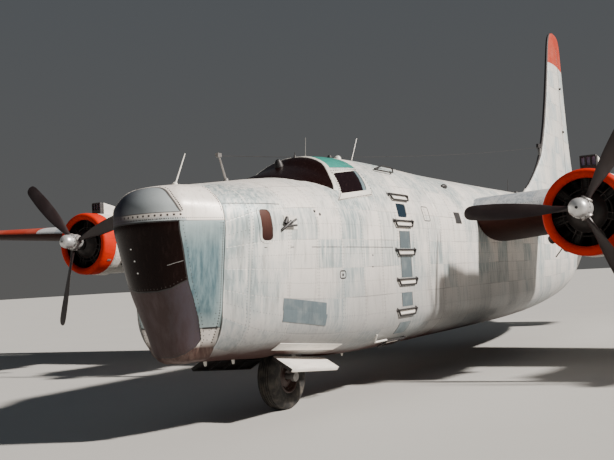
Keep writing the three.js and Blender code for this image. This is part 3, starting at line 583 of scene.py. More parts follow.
def grown(outline, amount):
    """An outline moved out by an amount all round."""
    turn = sum(a[0] * b[1] - b[0] * a[1] for a, b in zip(outline, outline[1:] + outline[:1]))
    sign = 1 if turn > 0 else -1
    made = []
    for i, corner in enumerate(outline):
        here = Vector(corner)
        before = (here - Vector(outline[i - 1])).normalized()
        after = (Vector(outline[(i + 1) % len(outline)]) - here).normalized()
        out = Vector((before.y + after.y, -before.x - after.x)) * sign
        scale = amount / max(0.35, 1 + before.dot(after))
        made.append(tuple(here + out * scale))
    return made


class Smooth:
    """Smooth curves through a table's rows."""
    def __init__(self, rows, columns):
        self.rows = rows
        self.columns = columns

    def at(self, x):
        rows = self.rows
        i = max(k for k in range(len(rows) - 1) if rows[k][0] <= x or k == 0)
        width = rows[i + 1][0] - rows[i][0]
        t = min(max((x - rows[i][0]) / width, 0), 1)
        made = {}
        for c, name in enumerate(self.columns):
            m0, m1 = self.slope(i, c), self.slope(i + 1, c)
            a, b = rows[i][c], rows[i + 1][c]
            made[name] = ((2 * t ** 3 - 3 * t ** 2 + 1) * a + (t ** 3 - 2 * t ** 2 + t) * width * m0
                          + (3 * t ** 2 - 2 * t ** 3) * b + (t ** 3 - t ** 2) * width * m1)
        return made

    def slope(self, k, c):
        rows = self.rows
        steps = [(rows[j + 1][c] - rows[j][c]) / (rows[j + 1][0] - rows[j][0])
                 for j in (k - 1, k) if 0 <= j < len(rows) - 1]
        if len(steps) == 1:
            return steps[0]
        return 0 if steps[0] * steps[1] <= 0 else 2 * steps[0] * steps[1] / (steps[0] + steps[1])


# Hull: half widths at the shoulder and the bilge, their heights, crown, keel, and the powers of the arcs
HULL = Smooth([
    (0.700, 0.740, 2.450, 0.640, 1.500, 3.005, 0.890, 2.60, 2.2),
    (1.200, 0.985, 2.430, 0.880, 1.450, 3.065, 0.860, 2.50, 2.2),
    (2.000, 1.095, 2.440, 1.040, 1.380, 3.165, 0.800, 2.30, 2.2),
    (3.000, 1.128, 2.450, 1.110, 1.320, 3.285, 0.705, 2.15, 2.2),
    (3.450, 1.130, 2.450, 1.125, 1.300, 3.420, 0.670, 2.00, 2.2),
    (3.850, 1.130, 2.450, 1.130, 1.290, 3.590, 0.645, 2.00, 2.2),
    (4.300, 1.130, 2.450, 1.130, 1.280, 3.680, 0.630, 2.00, 2.2),
    (5.400, 1.130, 2.450, 1.130, 1.270, 3.700, 0.620, 2.00, 2.2),
    (8.000, 1.130, 2.450, 1.130, 1.270, 3.665, 0.620, 2.00, 2.2),
    (11.00, 1.130, 2.450, 1.130, 1.290, 3.675, 0.630, 2.00, 2.2),
    (12.90, 1.125, 2.460, 1.105, 1.360, 3.690, 0.670, 2.00, 2.15),
    (14.50, 1.080, 2.490, 1.035, 1.450, 3.702, 0.740, 2.00, 2.1),
    (16.00, 1.000, 2.540, 0.930, 1.560, 3.715, 0.840, 2.00, 2.0),
    (17.50, 0.880, 2.610, 0.780, 1.720, 3.720, 1.000, 2.00, 2.0),
    (19.00, 0.745, 2.700, 0.600, 1.960, 3.715, 1.300, 2.00, 2.0),
    (20.40, 0.600, 2.790, 0.440, 2.280, 3.685, 1.750, 2.00, 2.0),
    (21.40, 0.490, 2.860, 0.350, 2.560, 3.630, 2.120, 2.00, 2.0),
    (21.90, 0.430, 2.900, 0.320, 2.700, 3.560, 2.310, 2.00, 2.0),
    (22.35, 0.330, 2.940, 0.260, 2.820, 3.400, 2.520, 2.00, 2.0),
    (22.62, 0.190, 2.960, 0.160, 2.900, 3.200, 2.710, 2.00, 2.0),
    (22.733, 0.060, 2.970, 0.060, 2.950, 3.030, 2.890, 2.00, 2.0),
], ("station", "half_top", "shoulder", "half_low", "bilge", "crown", "keel", "top_power", "low_power"))
HULL_ARC = 28  # chords in each half of a ring
FRONT_PITCH = 0.1  # distance between the rings of the cockpit section

# Canopy standing out of the deck: the height it springs from, half width, crown, power of its arc
CANOPY = Smooth([
    (2.400, 2.90, 0.500, 3.160, 1.85),
    (2.600, 2.90, 0.800, 3.265, 1.85),
    (2.770, 2.90, 0.800, 3.320, 1.85),
    (2.970, 2.90, 0.855, 3.376, 1.85),
    (3.200, 2.88, 0.940, 3.450, 1.80),
    (3.500, 2.75, 1.000, 3.605, 1.95),
    (3.850, 2.45, 1.100, 3.648, 2.25),
    (4.300, 2.45, 1.120, 3.672, 2.00),
], ("station", "spring", "half", "crown", "power"))
CANOPY_ENDS = (2.4, 4.3)
CANOPY_STEPS = 48


def hull_ring(station, inset=0.0):
    h = HULL.at(station)
    ring = []

    def arc(half, spring, reach, power, start):
        for i in range(HULL_ARC + 1):
            angle = start + math.pi * i / HULL_ARC
            across, up = math.cos(angle), abs(math.sin(angle))
            ring.append(Vector((math.copysign(half * abs(across) ** (2 / power), across), along(station),
                                spring + reach * (0 if up < 1e-9 else up ** (2 / power)))))

    arc(h["half_top"] - inset, h["shoulder"], h["crown"] - inset - h["shoulder"], h["top_power"], 0)
    arc(h["half_low"] - inset, h["bilge"], h["keel"] + inset - h["bilge"], h["low_power"], math.pi)
    return ring


def hull_mesh(start, end, inset=0.0, reach=0.0, pitch=0.3):
    steps = max(2, math.ceil((end - start) / pitch))
    rings = [hull_ring(start + (end - start) * i / steps, inset) for i in range(steps + 1)]
    for ring, shift in ((rings[0], -reach), (rings[-1], reach)):
        for p in ring:
            p.y += shift
    return skin(rings, name="hull")


def canopy_mesh(inset=0.0):
    rings = []
    for k in range(CANOPY_STEPS + 1):
        station = CANOPY_ENDS[0] + (CANOPY_ENDS[1] - CANOPY_ENDS[0]) * k / CANOPY_STEPS
        c = CANOPY.at(station)
        ring = []
        for i in range(HULL_ARC + 1):
            angle = math.pi * i / HULL_ARC
            across, up = math.cos(angle), max(math.sin(angle), 0)
            ring.append(((c["half"] - inset) * math.copysign(abs(across) ** (2 / c["power"]), across),
                         along(station),
                         c["spring"] + (c["crown"] - inset - c["spring"]) * up ** (2 / c["power"])))
        rings.append(ring)
    return skin(rings, name="canopy")


def front_body(inset=0.0, reach=0.0):
    """The cockpit section and its canopy as one solid."""
    return fused(hull_mesh(NOSE_SEAM + GAP, FRONT_SEAM - GAP, inset, reach, FRONT_PITCH),
                 canopy_mesh(inset))


def hull_half(station, height):
    """Half width of the hull at a height."""
    h = HULL.at(station)
    if height >= h["shoulder"]:
        t = min((height - h["shoulder"]) / (h["crown"] - h["shoulder"]), 1)
        return h["half_top"] * max(1 - t ** h["top_power"], 0) ** (1 / h["top_power"])
    if height <= h["bilge"]:
        t = min((h["bilge"] - height) / (h["bilge"] - h["keel"]), 1)
        return h["half_low"] * max(1 - t ** h["low_power"], 0) ** (1 / h["low_power"])
    t = (height - h["bilge"]) / (h["shoulder"] - h["bilge"])
    return h["half_low"] + t * (h["half_top"] - h["half_low"])


def hull_point(station, height, side=1, proud=0.0):
    return Vector((side * (hull_half(station, height) + proud), along(station), height))


# Nose: level outlines. Height, station of the front, radius of the front arc, half width where the arc
# ends, half width at the seam with the cockpit section
NOSE_ROWS = [
    (0.897, 0.520, 0.240, 0.150, 0.200),
    (0.940, 0.440, 0.300, 0.250, 0.385),
    (1.050, 0.385, 0.350, 0.330, 0.480),
    (1.220, 0.335, 0.400, 0.375, 0.560),
    (1.500, 0.235, 0.480, 0.415, 0.640),
    (1.790, 0.135, 0.560, 0.450, 0.668),
    (2.250, 0.050, 0.710, 0.485, 0.715),
    (2.500, 0.000, 0.765, 0.504, 0.738),
    (2.700, 0.010, 0.782, 0.514, 0.705),
    (2.850, 0.080, 0.673, 0.439, 0.600),
    (2.950, 0.227, 0.561, 0.349, 0.465),
    (2.988, 0.438, 0.422, 0.230, 0.300),
    (2.999, 0.560, 0.260, 0.090, 0.130),
]
NOSE = Smooth([(i, *row) for i, row in enumerate(NOSE_ROWS)],
              ("row", "height", "front", "radius", "edge", "seam"))
NOSE_COLUMNS = 26  # across the front arc
NOSE_FLANK = 8  # from the arc to the seam on each side
# Front outlines as (x, height)
NOSE_SILL = [(0.450, 1.870), (0.300, 1.785), (0.150, 1.755), (-0.150, 1.755), (-0.300, 1.785),
             (-0.450, 1.870)]
PANEL_EDGE = [(0.120, 0.985), (0.235, 1.025), (0.325, 1.095), (0.375, 1.180), (0.395, 1.270),
              (0.425, 1.440), (0.442, 1.640)]
NOSE_WINDOW = NOSE_SILL + [(-0.470, 2.150), (-0.487, 2.535), (0.487, 2.535), (0.470, 2.150)]
NOSE_PANEL = NOSE_SILL + [(-x, z) for x, z in PANEL_EDGE[::-1]] + PANEL_EDGE
NOSE_STEPS = 6  # rings between two rows of the table
SEAM_EDGE = 0.022  # distance of the outer row of rivets from a seam
BAND = (2.535, 2.635)  # heights of the rivet band over the window
# Height of the dome's edge at its most forward, its station there, its curve
DOME_ARC = (2.76, 0.160, 2.0)
# Painted highlights on the window, drawn as small bright pieces: x and height
WINDOW_HIGHLIGHTS = [(-0.138, 2.25), (-0.105, 2.112), (-0.084, 1.974)]
FILLER = (1.304, 1.135)  # heights where the blue panels and the pale panel under them end


def nose_ring(row, inset=0.0, shift=0.0, lift=0.0):
    n = NOSE.at(row)
    radius = n["radius"] - inset
    half = math.asin(n["edge"] / n["radius"])
    middle = n["front"] + n["radius"]
    height = n["height"] + lift
    ends = [Vector((side * (n["seam"] - inset), along(NOSE_SEAM) - GAP / 2 + shift, height))
            for side in (1, -1)]
    arc = []
    for i in range(NOSE_COLUMNS + 1):
        angle = half - 2 * half * i / NOSE_COLUMNS
        arc.append(Vector((radius * math.sin(angle), along(middle - radius * math.cos(angle)), height)))
    flank = [[a.lerp(b, i / NOSE_FLANK) for i in range(NOSE_FLANK)] for a, b in ((ends[0], arc[0]),
                                                                                 (ends[1], arc[-1]))]
    return flank[0] + arc + flank[1][::-1]


def nose_mesh(inset=0.0):
    """The nose as a solid; a smaller one for its hollow runs out through the back."""
    hollow = int(inset > 0)
    first, last = NOSE_STEPS * hollow, NOSE_STEPS * (len(NOSE_ROWS) - 1 - hollow)
    rings = [nose_ring(i / NOSE_STEPS, inset, 0.05 * hollow, inset / 2 * ((i == first) - (i == last)))
             for i in range(first, last + 1)]
    return skin(rings, name="nose")


def nose_point(row, column, proud=0.0):
    """A point of the nose by its row and by its column, -1 to 1 over the front arc."""
    n = NOSE.at(row)
    half = math.asin(n["edge"] / n["radius"])
    radius = n["radius"] + proud
    angle = half * column
    if abs(column) <= 1:
        return Vector((radius * math.sin(angle),
                       along(n["front"] + n["radius"] - radius * math.cos(angle)), n["height"]))
    side = math.copysign(1, column)
    t = abs(column) - 1
    start = nose_point(row, side, proud)
    end = Vector((side * (n["seam"] + proud), along(NOSE_SEAM), n["height"]))
    return start.lerp(end, t)


def nose_normal(row, column):
    d = 1e-3
    across = nose_point(row, column + d) - nose_point(row, column - d)
    up = nose_point(min(row + d, len(NOSE_ROWS) - 1), column) - nose_point(max(row - d, 0), column)
    return across.cross(up).normalized()


def paint(mesh, rule):
    for polygon in mesh.polygons:
        polygon.material_index = rule(polygon.center, polygon.normal)


STRIP_SINK = 0.004
RIVET_SIDES = 6


def ribbon(path, normals, width, proud):
    """A flat strip along a path on a surface, its underside sunk into it."""
    path = [Vector(p) for p in path]
    rings = []
    for i, p in enumerate(path):
        way = (path[min(i + 1, len(path) - 1)] - path[max(i - 1, 0)]).normalized()
        normal = Vector(normals[i]).normalized()
        side = way.cross(normal).normalized() * width / 2
        rings.append([p + side + normal * proud * 0.4, p + side * 0.8 + normal * proud,
                      p - side * 0.8 + normal * proud, p - side + normal * proud * 0.4,
                      p - side - normal * STRIP_SINK, p + side - normal * STRIP_SINK])
    return skin(rings, name="ribbon")


def rivet_heads(points, normals, radius, rise=0.62):
    """Low domes standing on a surface."""
    bm = bmesh.new()
    for p, n in zip(points, normals):
        n = Vector(n).normalized()
        a = n.orthogonal().normalized()
        b = n.cross(a)
        low, high = [], []
        for t in around(RIVET_SIDES):
            way = math.cos(t) * a + math.sin(t) * b
            low.append(bm.verts.new(Vector(p) + radius * way - n * 0.002))
            high.append(bm.verts.new(Vector(p) + radius * 0.66 * way + n * radius * rise * 0.7))
        top = bm.verts.new(Vector(p) + n * radius * rise)
        for k in range(RIVET_SIDES):
            j = (k + 1) % RIVET_SIDES
            bm.faces.new((low[k], low[j], high[j], high[k]))
            bm.faces.new((high[k], high[j], top))
        bm.faces.new(low[::-1])
    mesh = bpy.data.meshes.new("rivets")
    bm.to_mesh(mesh)
    bm.free()
    return mesh


def nose_row(height):
    low, high = 0.0, len(NOSE_ROWS) - 1.0
    for _ in range(24):
        middle = (low + high) / 2
        low, high = (middle, high) if NOSE.at(middle)["height"] < height else (low, middle)
    return low


def nose_front(x, height):
    """Row and column of the nose's surface from its place in the front view."""
    row = nose_row(height)
    n = NOSE.at(row)
    if abs(x) <= n["edge"]:
        return row, math.asin(x / n["radius"]) / math.asin(n["edge"] / n["radius"])
    return row, math.copysign(1 + (abs(x) - n["edge"]) / (n["seam"] - n["edge"]), x)


def nose_side(station, height, side=1):
    """Row and column of the nose's surface from its place in the side view."""
    row = nose_row(height)
    n = NOSE.at(row)
    half = math.asin(n["edge"] / n["radius"])
    corner = n["front"] + n["radius"] * (1 - math.cos(half))
    if station <= corner:
        return row, side * math.acos(min(1, 1 - (station - n["front"]) / n["radius"])) / half
    return row, side * (1 + (station - corner) / (NOSE_SEAM - corner))


def spaced(outline, pitch):
    """Points a pitch apart round an outline."""
    made = []
    for a, b in zip(outline, outline[1:] + outline[:1]):
        made += between(a, b, max(1, round(math.dist(a, b) / pitch)))[:-1]
    return made


def between(start, end, count):
    """Points of a straight line, its ends included."""
    return [tuple(a + (b - a) * k / count for a, b in zip(start, end)) for k in range(count + 1)]


def front_prism(outline):
    return prism(outline, -0.1, NOSE_SEAM - 0.02, lambda x, z, s: (x, along(s), z))


def dome_edge(height):
    return DOME_ARC[1] + DOME_ARC[2] * (height - DOME_ARC[0]) ** 2


def nose_sheet():
    """Blue-grey dome in front, darkened towards starboard as painted shade, pale sheet behind it, blue
    panels beside the window, brown under them, darkened partly as painted shade.
    """
    s = Shader("nose_sheet", metallic=SHEET_SHINE)
    station = s.plus(s.y, LENGTH / 2)
    patch, fine = s.noise(2.1, 6.0), s.noise(40.0, 4.0)
    streak = s.noise(2.6, 5.0, s.stretched(8.0, 8.0, 0.7), 0.65)
    rise = s.minus(s.z, DOME_ARC[0])
    edge = s.math("MULTIPLY_ADD", s.times(rise, rise), DOME_ARC[2], DOME_ARC[1])
    behind = s.minus(station, edge)
    pale = s.mix(s.band(streak, 0.5, 0.8), (0.93, 0.865, 0.80), (0.60, 0.54, 0.49))
    # Painted shade: the dome darkens to near black towards its starboard side
    dome = s.mix(s.band(s.x, -0.26, 0.40), (0.012, 0.012, 0.028), (0.56, 0.61, 0.62))
    dome = s.mix(s.times(s.band(patch, 0.45, 0.75), 0.3), dome, (0.26, 0.31, 0.35))
    blue = s.mix(s.band(streak, 0.35, 0.65), (0.065, 0.125, 0.150), (0.185, 0.275, 0.300))
    rim = s.larger(s.band(s.plus(s.z, s.times(patch, 0.5)), 2.45, 2.85),
                   s.band(s.plus(station, s.times(patch, 0.12)), 0.68, 0.76))
    rim = s.larger(rim, s.rest(s.band(s.z, 1.33, 1.50)))
    blue = s.mix(s.times(rim, 0.6), blue, (0.50, 0.60, 0.60))
    strap = s.mix(s.band(s.plus(s.z, s.times(patch, 0.10)), 2.62, 2.66), dome, pale)
    # Painted shade: the strap over the window darkens towards the starboard side
    strap = s.mix(s.band(s.x, -0.25, 0.05), (0.055, 0.045, 0.06), strap)
    strap = s.mix(s.band(behind, -0.002, 0.002), strap, pale)
    # Brown under the blue panels, darkened partly as painted shade
    brown = s.mix(s.band(streak, 0.4, 0.7), (0.040, 0.016, 0.012), (0.12, 0.075, 0.060))
    colour = s.mix(s.band(behind, -0.002, 0.002), dome, pale)
    colour = s.mix(s.band(s.z, BAND[1] - 0.002, BAND[1]), strap, colour)
    colour = s.mix(s.band(s.z, BAND[0] - 0.002, BAND[0]), blue, colour)
    colour = s.mix(s.band(s.z, FILLER[0] - 0.002, FILLER[0]), pale, colour)
    colour = s.mix(s.band(s.z, FILLER[1] - 0.06, FILLER[1] + 0.03), brown, colour)
    lines = s.rest(s.band(s.math("ABSOLUTE", behind), 0.005, 0.011))
    lines = s.times(lines, s.band(s.z, BAND[1] - 0.004, BAND[1]))
    for height in (*BAND, FILLER[0]):
        gap = s.math("ABSOLUTE", s.minus(s.z, height))
        line = s.rest(s.band(gap, 0.002, 0.006))
        if height == BAND[1]:
            line = s.times(line, s.rest(s.band(behind, 0.0, 0.004)))
        lines = s.larger(lines, line)
    colour = s.mix(s.times(lines, 0.88), colour, (0.03, 0.025, 0.022))
    colour = s.mix(s.times(s.band(fine, 0.58, 0.8), 0.25), colour, (0.12, 0.09, 0.075))
    rough = s.plus(s.times(fine, 0.3), 0.30)
    return s.finish(colour, rough, s.minus(s.noise(3.0, 2.0), s.times(lines, 0.4)), strength=0.4,
                    distance=0.006)


def build_nose(m):
    shell = less(nose_mesh(), nose_mesh(SKIN))
    sheet = nose_sheet()
    rest = shell
    for outline, name, node, slot, look in (
            (NOSE_WINDOW, "nose_window_glass", "nose_window", "dark_glazing", m["glass"]),
            (NOSE_PANEL, "nose_panel_skin", "nose_lower_panel", "bare_aluminium", m["mauve"])):
        piece = piece_from(within(shell, front_prism(grown(outline, -0.003))), name, "airframe", slot,
                           look)
        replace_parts(piece, node)
        rest = less(rest, front_prism(outline))
    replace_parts(piece_from(rest, "nose_skin", "airframe", "bare_aluminium", sheet), "nose_shell")
    build_nose_trim(m)


# Nose rivets: distance between two, how far the domes rise, radii
RIVET = {"pitch": 0.042, "rise": 0.16, "small": 0.0095, "seam": 0.0135, "bold": 0.018}


def nose_strip(line, width, proud):
    return ribbon([nose_point(*q) for q in line], [nose_normal(*q) for q in line], width, proud)


def build_nose_trim(m):
    places = []
    for outline, reach in ((NOSE_WINDOW, 0.028), (NOSE_PANEL, 0.028), (NOSE_PANEL, -0.024)):
        places += [nose_front(x, z) for x, z in spaced(grown(outline, reach), RIVET["pitch"])]
    row = nose_row(BAND[0] + 0.03)
    places += between((row, -1.95), (row, 1.95), 84)
    row = nose_row(BAND[1] - 0.03)
    bold = between((row, -0.98), (row, 0.98), 15)
    seams = []
    for side in (1, -1):
        for k in range(46):
            height = FILLER[1] + (BAND[0] - FILLER[1]) * k / 46
            seams += [nose_side(NOSE_SEAM - SEAM_EDGE, height, side)]
            places += [nose_side(NOSE_SEAM - 0.052, height, side)] * (k % 2)
        for k in range(16):
            height = BAND[1] + 0.02 + (2.95 - BAND[1]) * k / 16
            seams.append(nose_side(dome_edge(height) + SEAM_EDGE, height, side))
            seams.append(nose_side(NOSE_SEAM - SEAM_EDGE, height, side))
        places += [nose_side(0.42 + 0.036 * k, FILLER[0] - 0.025, side) for k in range(8)]
    heads = [rivet_heads([nose_point(*q, -0.001) for q in group], [nose_normal(*q) for q in group],
                         RIVET[size], RIVET["rise"])
             for group, size in ((places, "small"), (seams, "seam"), (bold, "bold"))]
    piece_from(joined(heads), "nose_rivets", "airframe", "gear_steel", m["dark_rivet"])
    strips = []
    for outline, width in ((NOSE_WINDOW, 0.016), (NOSE_PANEL, 0.011)):
        line = [nose_front(x, z) for x, z in spaced(outline, 0.03)]
        line.append(line[0])
        strips.append(nose_strip(line, width, 0.0002))
    for side in (1, -1):
        line = [nose_side(0.585 + 0.1 * k / 4, FILLER[0], side) for k in range(5)]
        strips.append(nose_strip(line, 0.022, 0.004))
    piece_from(joined(strips), "nose_window_seal", "airframe", "tyre_rubber", m["black"])
    # Painted highlights on the window glass, and a thin bright line across it
    marks = []
    for x, z in WINDOW_HIGHLIGHTS:
        line = [nose_front(x + 0.012 * k, z) for k in (-1, 0, 1)]
        marks.append(nose_strip(line, 0.018, 0.002))
    line = [nose_front(0.30 + 0.017 * k, 2.043 + 0.005 * k) for k in range(10)]
    marks.append(nose_strip(line, 0.004, 0.001))
    piece_from(joined(marks), "nose_window_highlight_marks", "airframe", "gear_steel", m["silver"])


# Cockpit section: side outlines as (station, height)
WINDSCREEN = [(2.30, 3.08), (2.90, 3.00), (3.12, 3.01), (3.26, 3.20), (3.46, 3.45), (3.53, 3.563),
              (3.60, 3.64), (3.60, 3.85), (2.30, 3.85)]
HOOP = [(3.12, 3.01), (3.26, 3.20), (3.46, 3.45), (3.53, 3.563), (3.60, 3.64), (3.60, 3.85), (3.66, 3.85),
        (3.66, 3.64), (3.575, 3.554), (3.51, 3.445), (3.32, 3.204), (3.19, 3.01)]
SIDE_WINDOW = [(3.24, 2.97), (3.40, 3.29), (4.08, 3.38), (3.94, 3.055)]
SIDE_FRAME = [(2.983, 2.851), (3.205, 2.985), (3.41, 3.35), (4.14, 3.415), (4.117, 3.036), (4.025, 2.971)]
SIDE_RAIL = [(3.82, 3.04), (3.945, 3.37), (4.045, 3.385), (3.91, 3.05)]
ROOF_PANEL = [(3.44, 3.383), (4.24, 3.432), (4.30, 3.571), (4.34, 3.85), (3.66, 3.85), (3.66, 3.64),
              (3.575, 3.554), (3.52, 3.49)]
OVAL_WINDOW = [(1.13, 2.287), (1.105, 2.665), (1.275, 2.66), (1.305, 2.287)]
STEP_WINDOW = [(4.75, 2.675), (4.78, 2.895), (5.14, 2.895), (5.09, 2.675)]
NOSE_BAY = {"from": 2.0, "to": 3.72, "half": 0.5, "low": 0.4, "high": 1.1}
# Spans of x that a side outline is cut through
WHOLE, PORT, STARBOARD = (-1.3, 1.3), (0.6, 1.3), (-1.3, -0.6)


def build_cockpit(m):
    outer = front_body()
    deck = hull_mesh(NOSE_SEAM - 0.01, FRONT_SEAM + 0.01, -0.002, 0, FRONT_PITCH)
    shell = less(outer, front_body(SKIN, 0.05))
    proud = less(front_body(-0.007), outer)

    def pane(name, outline, span, slot, look, node, shrink=0.003):
        mesh = within(shell, side_prism(grown(outline, -shrink), *span))
        if node == "windscreen":
            mesh = less(mesh, deck)
        piece = piece_from(mesh, name, "airframe", slot, m[look])
        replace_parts(piece, node)

    def plate(name, outline, hole, span, look):
        mesh = within(proud, side_prism(outline, *span))
        if hole:
            mesh = less(mesh, side_prism(hole, *span))
        piece_from(mesh, name, "airframe", "bare_aluminium", m[look])

    oval = rounded(OVAL_WINDOW, 0.06)
    side = rounded(SIDE_WINDOW, 0.04)
    step = rounded(STEP_WINDOW, 0.04)
    pane("windscreen_glass", WINDSCREEN, WHOLE, "dark_glazing", "glass", "windscreen", 0.001)
    pane("roof_panel_skin", ROOF_PANEL, WHOLE, "green_glazing", "green", "cockpit_roof_panel")
    pane("oval_window_glass", oval, PORT, "dark_glazing", "brown_glass", "nose_side_window_left")
    pane("side_glass_left", side, PORT, "dark_glazing", "side_glass", "side_window_left")
    pane("side_glass_right", side, STARBOARD, "dark_glazing", "side_glass", "side_window_right")
    plate("windscreen_hoop", HOOP, None, WHOLE, "cream")
    plate("side_frame_left", rounded(SIDE_FRAME, 0.015), side, PORT, "white")
    plate("side_frame_right", rounded(SIDE_FRAME, 0.015), side, STARBOARD, "white")
    plate("side_rail_left", SIDE_RAIL, None, PORT, "steel_blue")
    plate("oval_window_frame", grown(oval, 0.03), oval, PORT, "hull")
    body = shell
    windscreen = less(side_prism(WINDSCREEN, *WHOLE), deck)
    bay = NOSE_BAY
    for cutter in (windscreen, side_prism(ROOF_PANEL, *WHOLE), side_prism(oval, *PORT),
                   side_prism(side, *PORT), side_prism(side, *STARBOARD), side_prism(step, *PORT),
                   box_mesh((-bay["half"], bay["from"], bay["low"]),
                            (bay["half"], bay["to"], bay["high"]))):
        body = less(body, cutter)
    piece = piece_from(body, "cockpit_skin", "airframe", "bare_aluminium", m["hull"])
    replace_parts(piece, "fuselage_cockpit_section")
    pane_mesh = within(less(front_body(0.012), front_body(0.02)), side_prism(grown(step, 0.01), *PORT))
    piece_from(pane_mesh, "small_window_glass", "airframe", "dark_glazing", m["blue_glass"])
    for name, look in (("cockpit_floor", "cabin"), ("cockpit_bulkhead", "cabin"),
                       ("instrument_panel", "cabin"), ("cockpit_seat_left", "seat"),
                       ("cockpit_seat_right", "seat")):
        node = bpy.data.objects[name]
        node.data.materials.clear()
        node.data.materials.append(m[look])


# Tank section and its drop doors: name, side, stations
DOOR_REACH = (0.4, 0.9)  # heights between which the doors are cut from the belly
TRAY = {"from": 8.6, "to": 12.5, "half": 0.59}
DOOR = {"inner": 0.015, "hinge": 0.470, "skin": 0.035, "recess": 0.075, "play": 0.012}
DROP_DOORS = [
    ("drop_door_front_left", 1, 8.7, 10.5),
    ("drop_door_front_right", -1, 8.7, 10.5),
    ("drop_door_rear_left", 1, 10.6, 12.4),
    ("drop_door_rear_right", -1, 10.6, 12.4),
]


def build_tank(m):
    def depth(amount, reach=0.0):
        return hull_mesh(FRONT_SEAM + GAP, REAR_SEAM - GAP, amount, reach)

    low, high = DOOR_REACH
    outer = depth(0)
    body = less(outer, depth(SKIN, 0.05))
    tray = within(less(outer, depth(DOOR["recess"] + SKIN, 0.05)),
                  box_mesh((-TRAY["half"], TRAY["from"], low), (TRAY["half"], TRAY["to"], high)))
    body = fused(body, tray)
    pocket = less(depth(-0.005), depth(DOOR["recess"], 0.05))
    leaf = less(outer, depth(DOOR["skin"], 0.05))
    for name, side, start, end in DROP_DOORS:
        play = DOOR["play"]
        room = sorted((side * 0.002, side * (DOOR["hinge"] + play)))
        body = less(body, within(pocket, box_mesh((room[0], start, low), (room[1], end, high))))
        span = sorted((side * DOOR["inner"], side * DOOR["hinge"]))
        door = within(leaf, box_mesh((span[0], start + play, low), (span[1], end - play, high)))
        piece = piece_from(door, name + "_skin", name, "bare_aluminium", m["hull"])
        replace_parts(piece, name)
    piece = piece_from(body, "tank_skin", "airframe", "bare_aluminium", m["hull"])
    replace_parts(piece, "fuselage_tank_section")


REAR_MOUTH = {"half": 0.95, "low": 1.1, "high": 3.2}


def build_rear(m):
    rear = less(hull_mesh(REAR_SEAM, CONE_SEAM - GAP), hull_mesh(REAR_SEAM, CONE_SEAM - 0.06, SKIN))
    half, low, high = REAR_MOUTH.values()
    mouth = box_mesh((-half, REAR_SEAM - 0.05, low), (half, REAR_SEAM + 0.04, high))
    piece = piece_from(less(rear, mouth), "rear_skin", "airframe", "bare_aluminium", m["hull"])
    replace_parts(piece, "fuselage_rear_section")
    cone = piece_from(hull_mesh(CONE_SEAM + GAP, LENGTH, pitch=0.05), "cone_skin", "airframe",
                      "bare_aluminium", m["hull"])
    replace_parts(cone, "tail_cone")


# Aerofoils
CHORD_STEPS = [1, 0.9, 0.8, 0.7, 0.6, 0.5, 0.4, 0.3, 0.22, 0.15, 0.1, 0.07, 0.045, 0.025, 0.012, 0.004]
BOOT = 0.0714  # chord fraction of the tailplane that the dark boot covers
CAMBER = 0.02


def aerofoil(chord, ratio, camber):
    """Points (along, across) of a section, upper side from the back, then lower side."""
    def side(x, sign):
        bulge = 0.2969 * math.sqrt(x) - 0.126 * x - 0.3516 * x ** 2 + 0.2843 * x ** 3 - 0.1036 * x ** 4
        half = 5 * ratio * bulge
        return x * chord, camber * chord * 4 * x * (1 - x) + sign * max(half * chord, 0.005)
    return [side(x, 1) for x in CHORD_STEPS] + [(0, 0)] + [side(x, -1) for x in reversed(CHORD_STEPS)]


# Wing from root to tip: fraction of the half span, thickness ratio, chord factor for the round tip
WING = Smooth([(-0.04, 0.215, 1), (0, 0.215, 1), (0.25, 0.195, 1), (0.5, 0.17, 1), (0.75, 0.14, 1),
               (0.94, 0.115, 1), (0.975, 0.105, 0.86), (0.993, 0.085, 0.62),
               (1, 0.05, 0.38)], ("at", "ratio", "round"))
WING_CUTS = [-0.04, 0, 0.1, 0.25, 0.4, 0.5, 0.6, 0.65, 0.665, 0.68, 0.695, 0.8, 0.94, 0.955, 0.968, 0.98,
             0.989, 0.995, 1]
FLAP = {"from": 0.006, "to": 0.47, "chord": 0.76}
AILERON = {"from": 0.5, "to": 0.935, "chord": 0.77}
BEHIND_WING = 14  # a station clear of its trailing edge
WING_TIP_PAINT = 11.6  # distance from the centre plane where the worn orange starts


def wing_place(at):
    out = at * (WING_TIP_X - WING_ROOT_X)
    return (WING_ROOT_X + out, ROOT_CHORD + at * (TIP_CHORD - ROOT_CHORD),
            ROOT_LEADING_EDGE + out * math.tan(SWEEP), WING_ROOT_Z + out * math.tan(DIHEDRAL))


def wing_mesh(side):
    rings = []
    for at in WING_CUTS:
        w = WING.at(at)
        x, chord, leading, z = wing_place(at)
        leading += 0.55 * chord * (1 - w["round"])
        rings.append([(side * x, along(leading + a * math.cos(INCIDENCE) + b * math.sin(INCIDENCE)),
                       z - a * math.sin(INCIDENCE) + b * math.cos(INCIDENCE))
                      for a, b in aerofoil(chord * w["round"], w["ratio"], CAMBER)])
    return skin(rings, name="wing")


def panel_outline(side, panel, ahead, wide):
    (x0, s0), (x1, s1) = [(wing_place(at)[0], wing_place(at)[2]
                           + panel["chord"] * wing_place(at)[1] * math.cos(INCIDENCE))
                          for at in (panel["from"], panel["to"])]
    slope = (s1 - s0) / (x1 - x0)
    outline = [(x0 - wide, s0 - wide * slope - ahead), (x1 + wide, s1 + wide * slope - ahead),
               (x1 + wide, BEHIND_WING), (x0 - wide, BEHIND_WING)]
    return [(side * x, s) for x, s in outline]


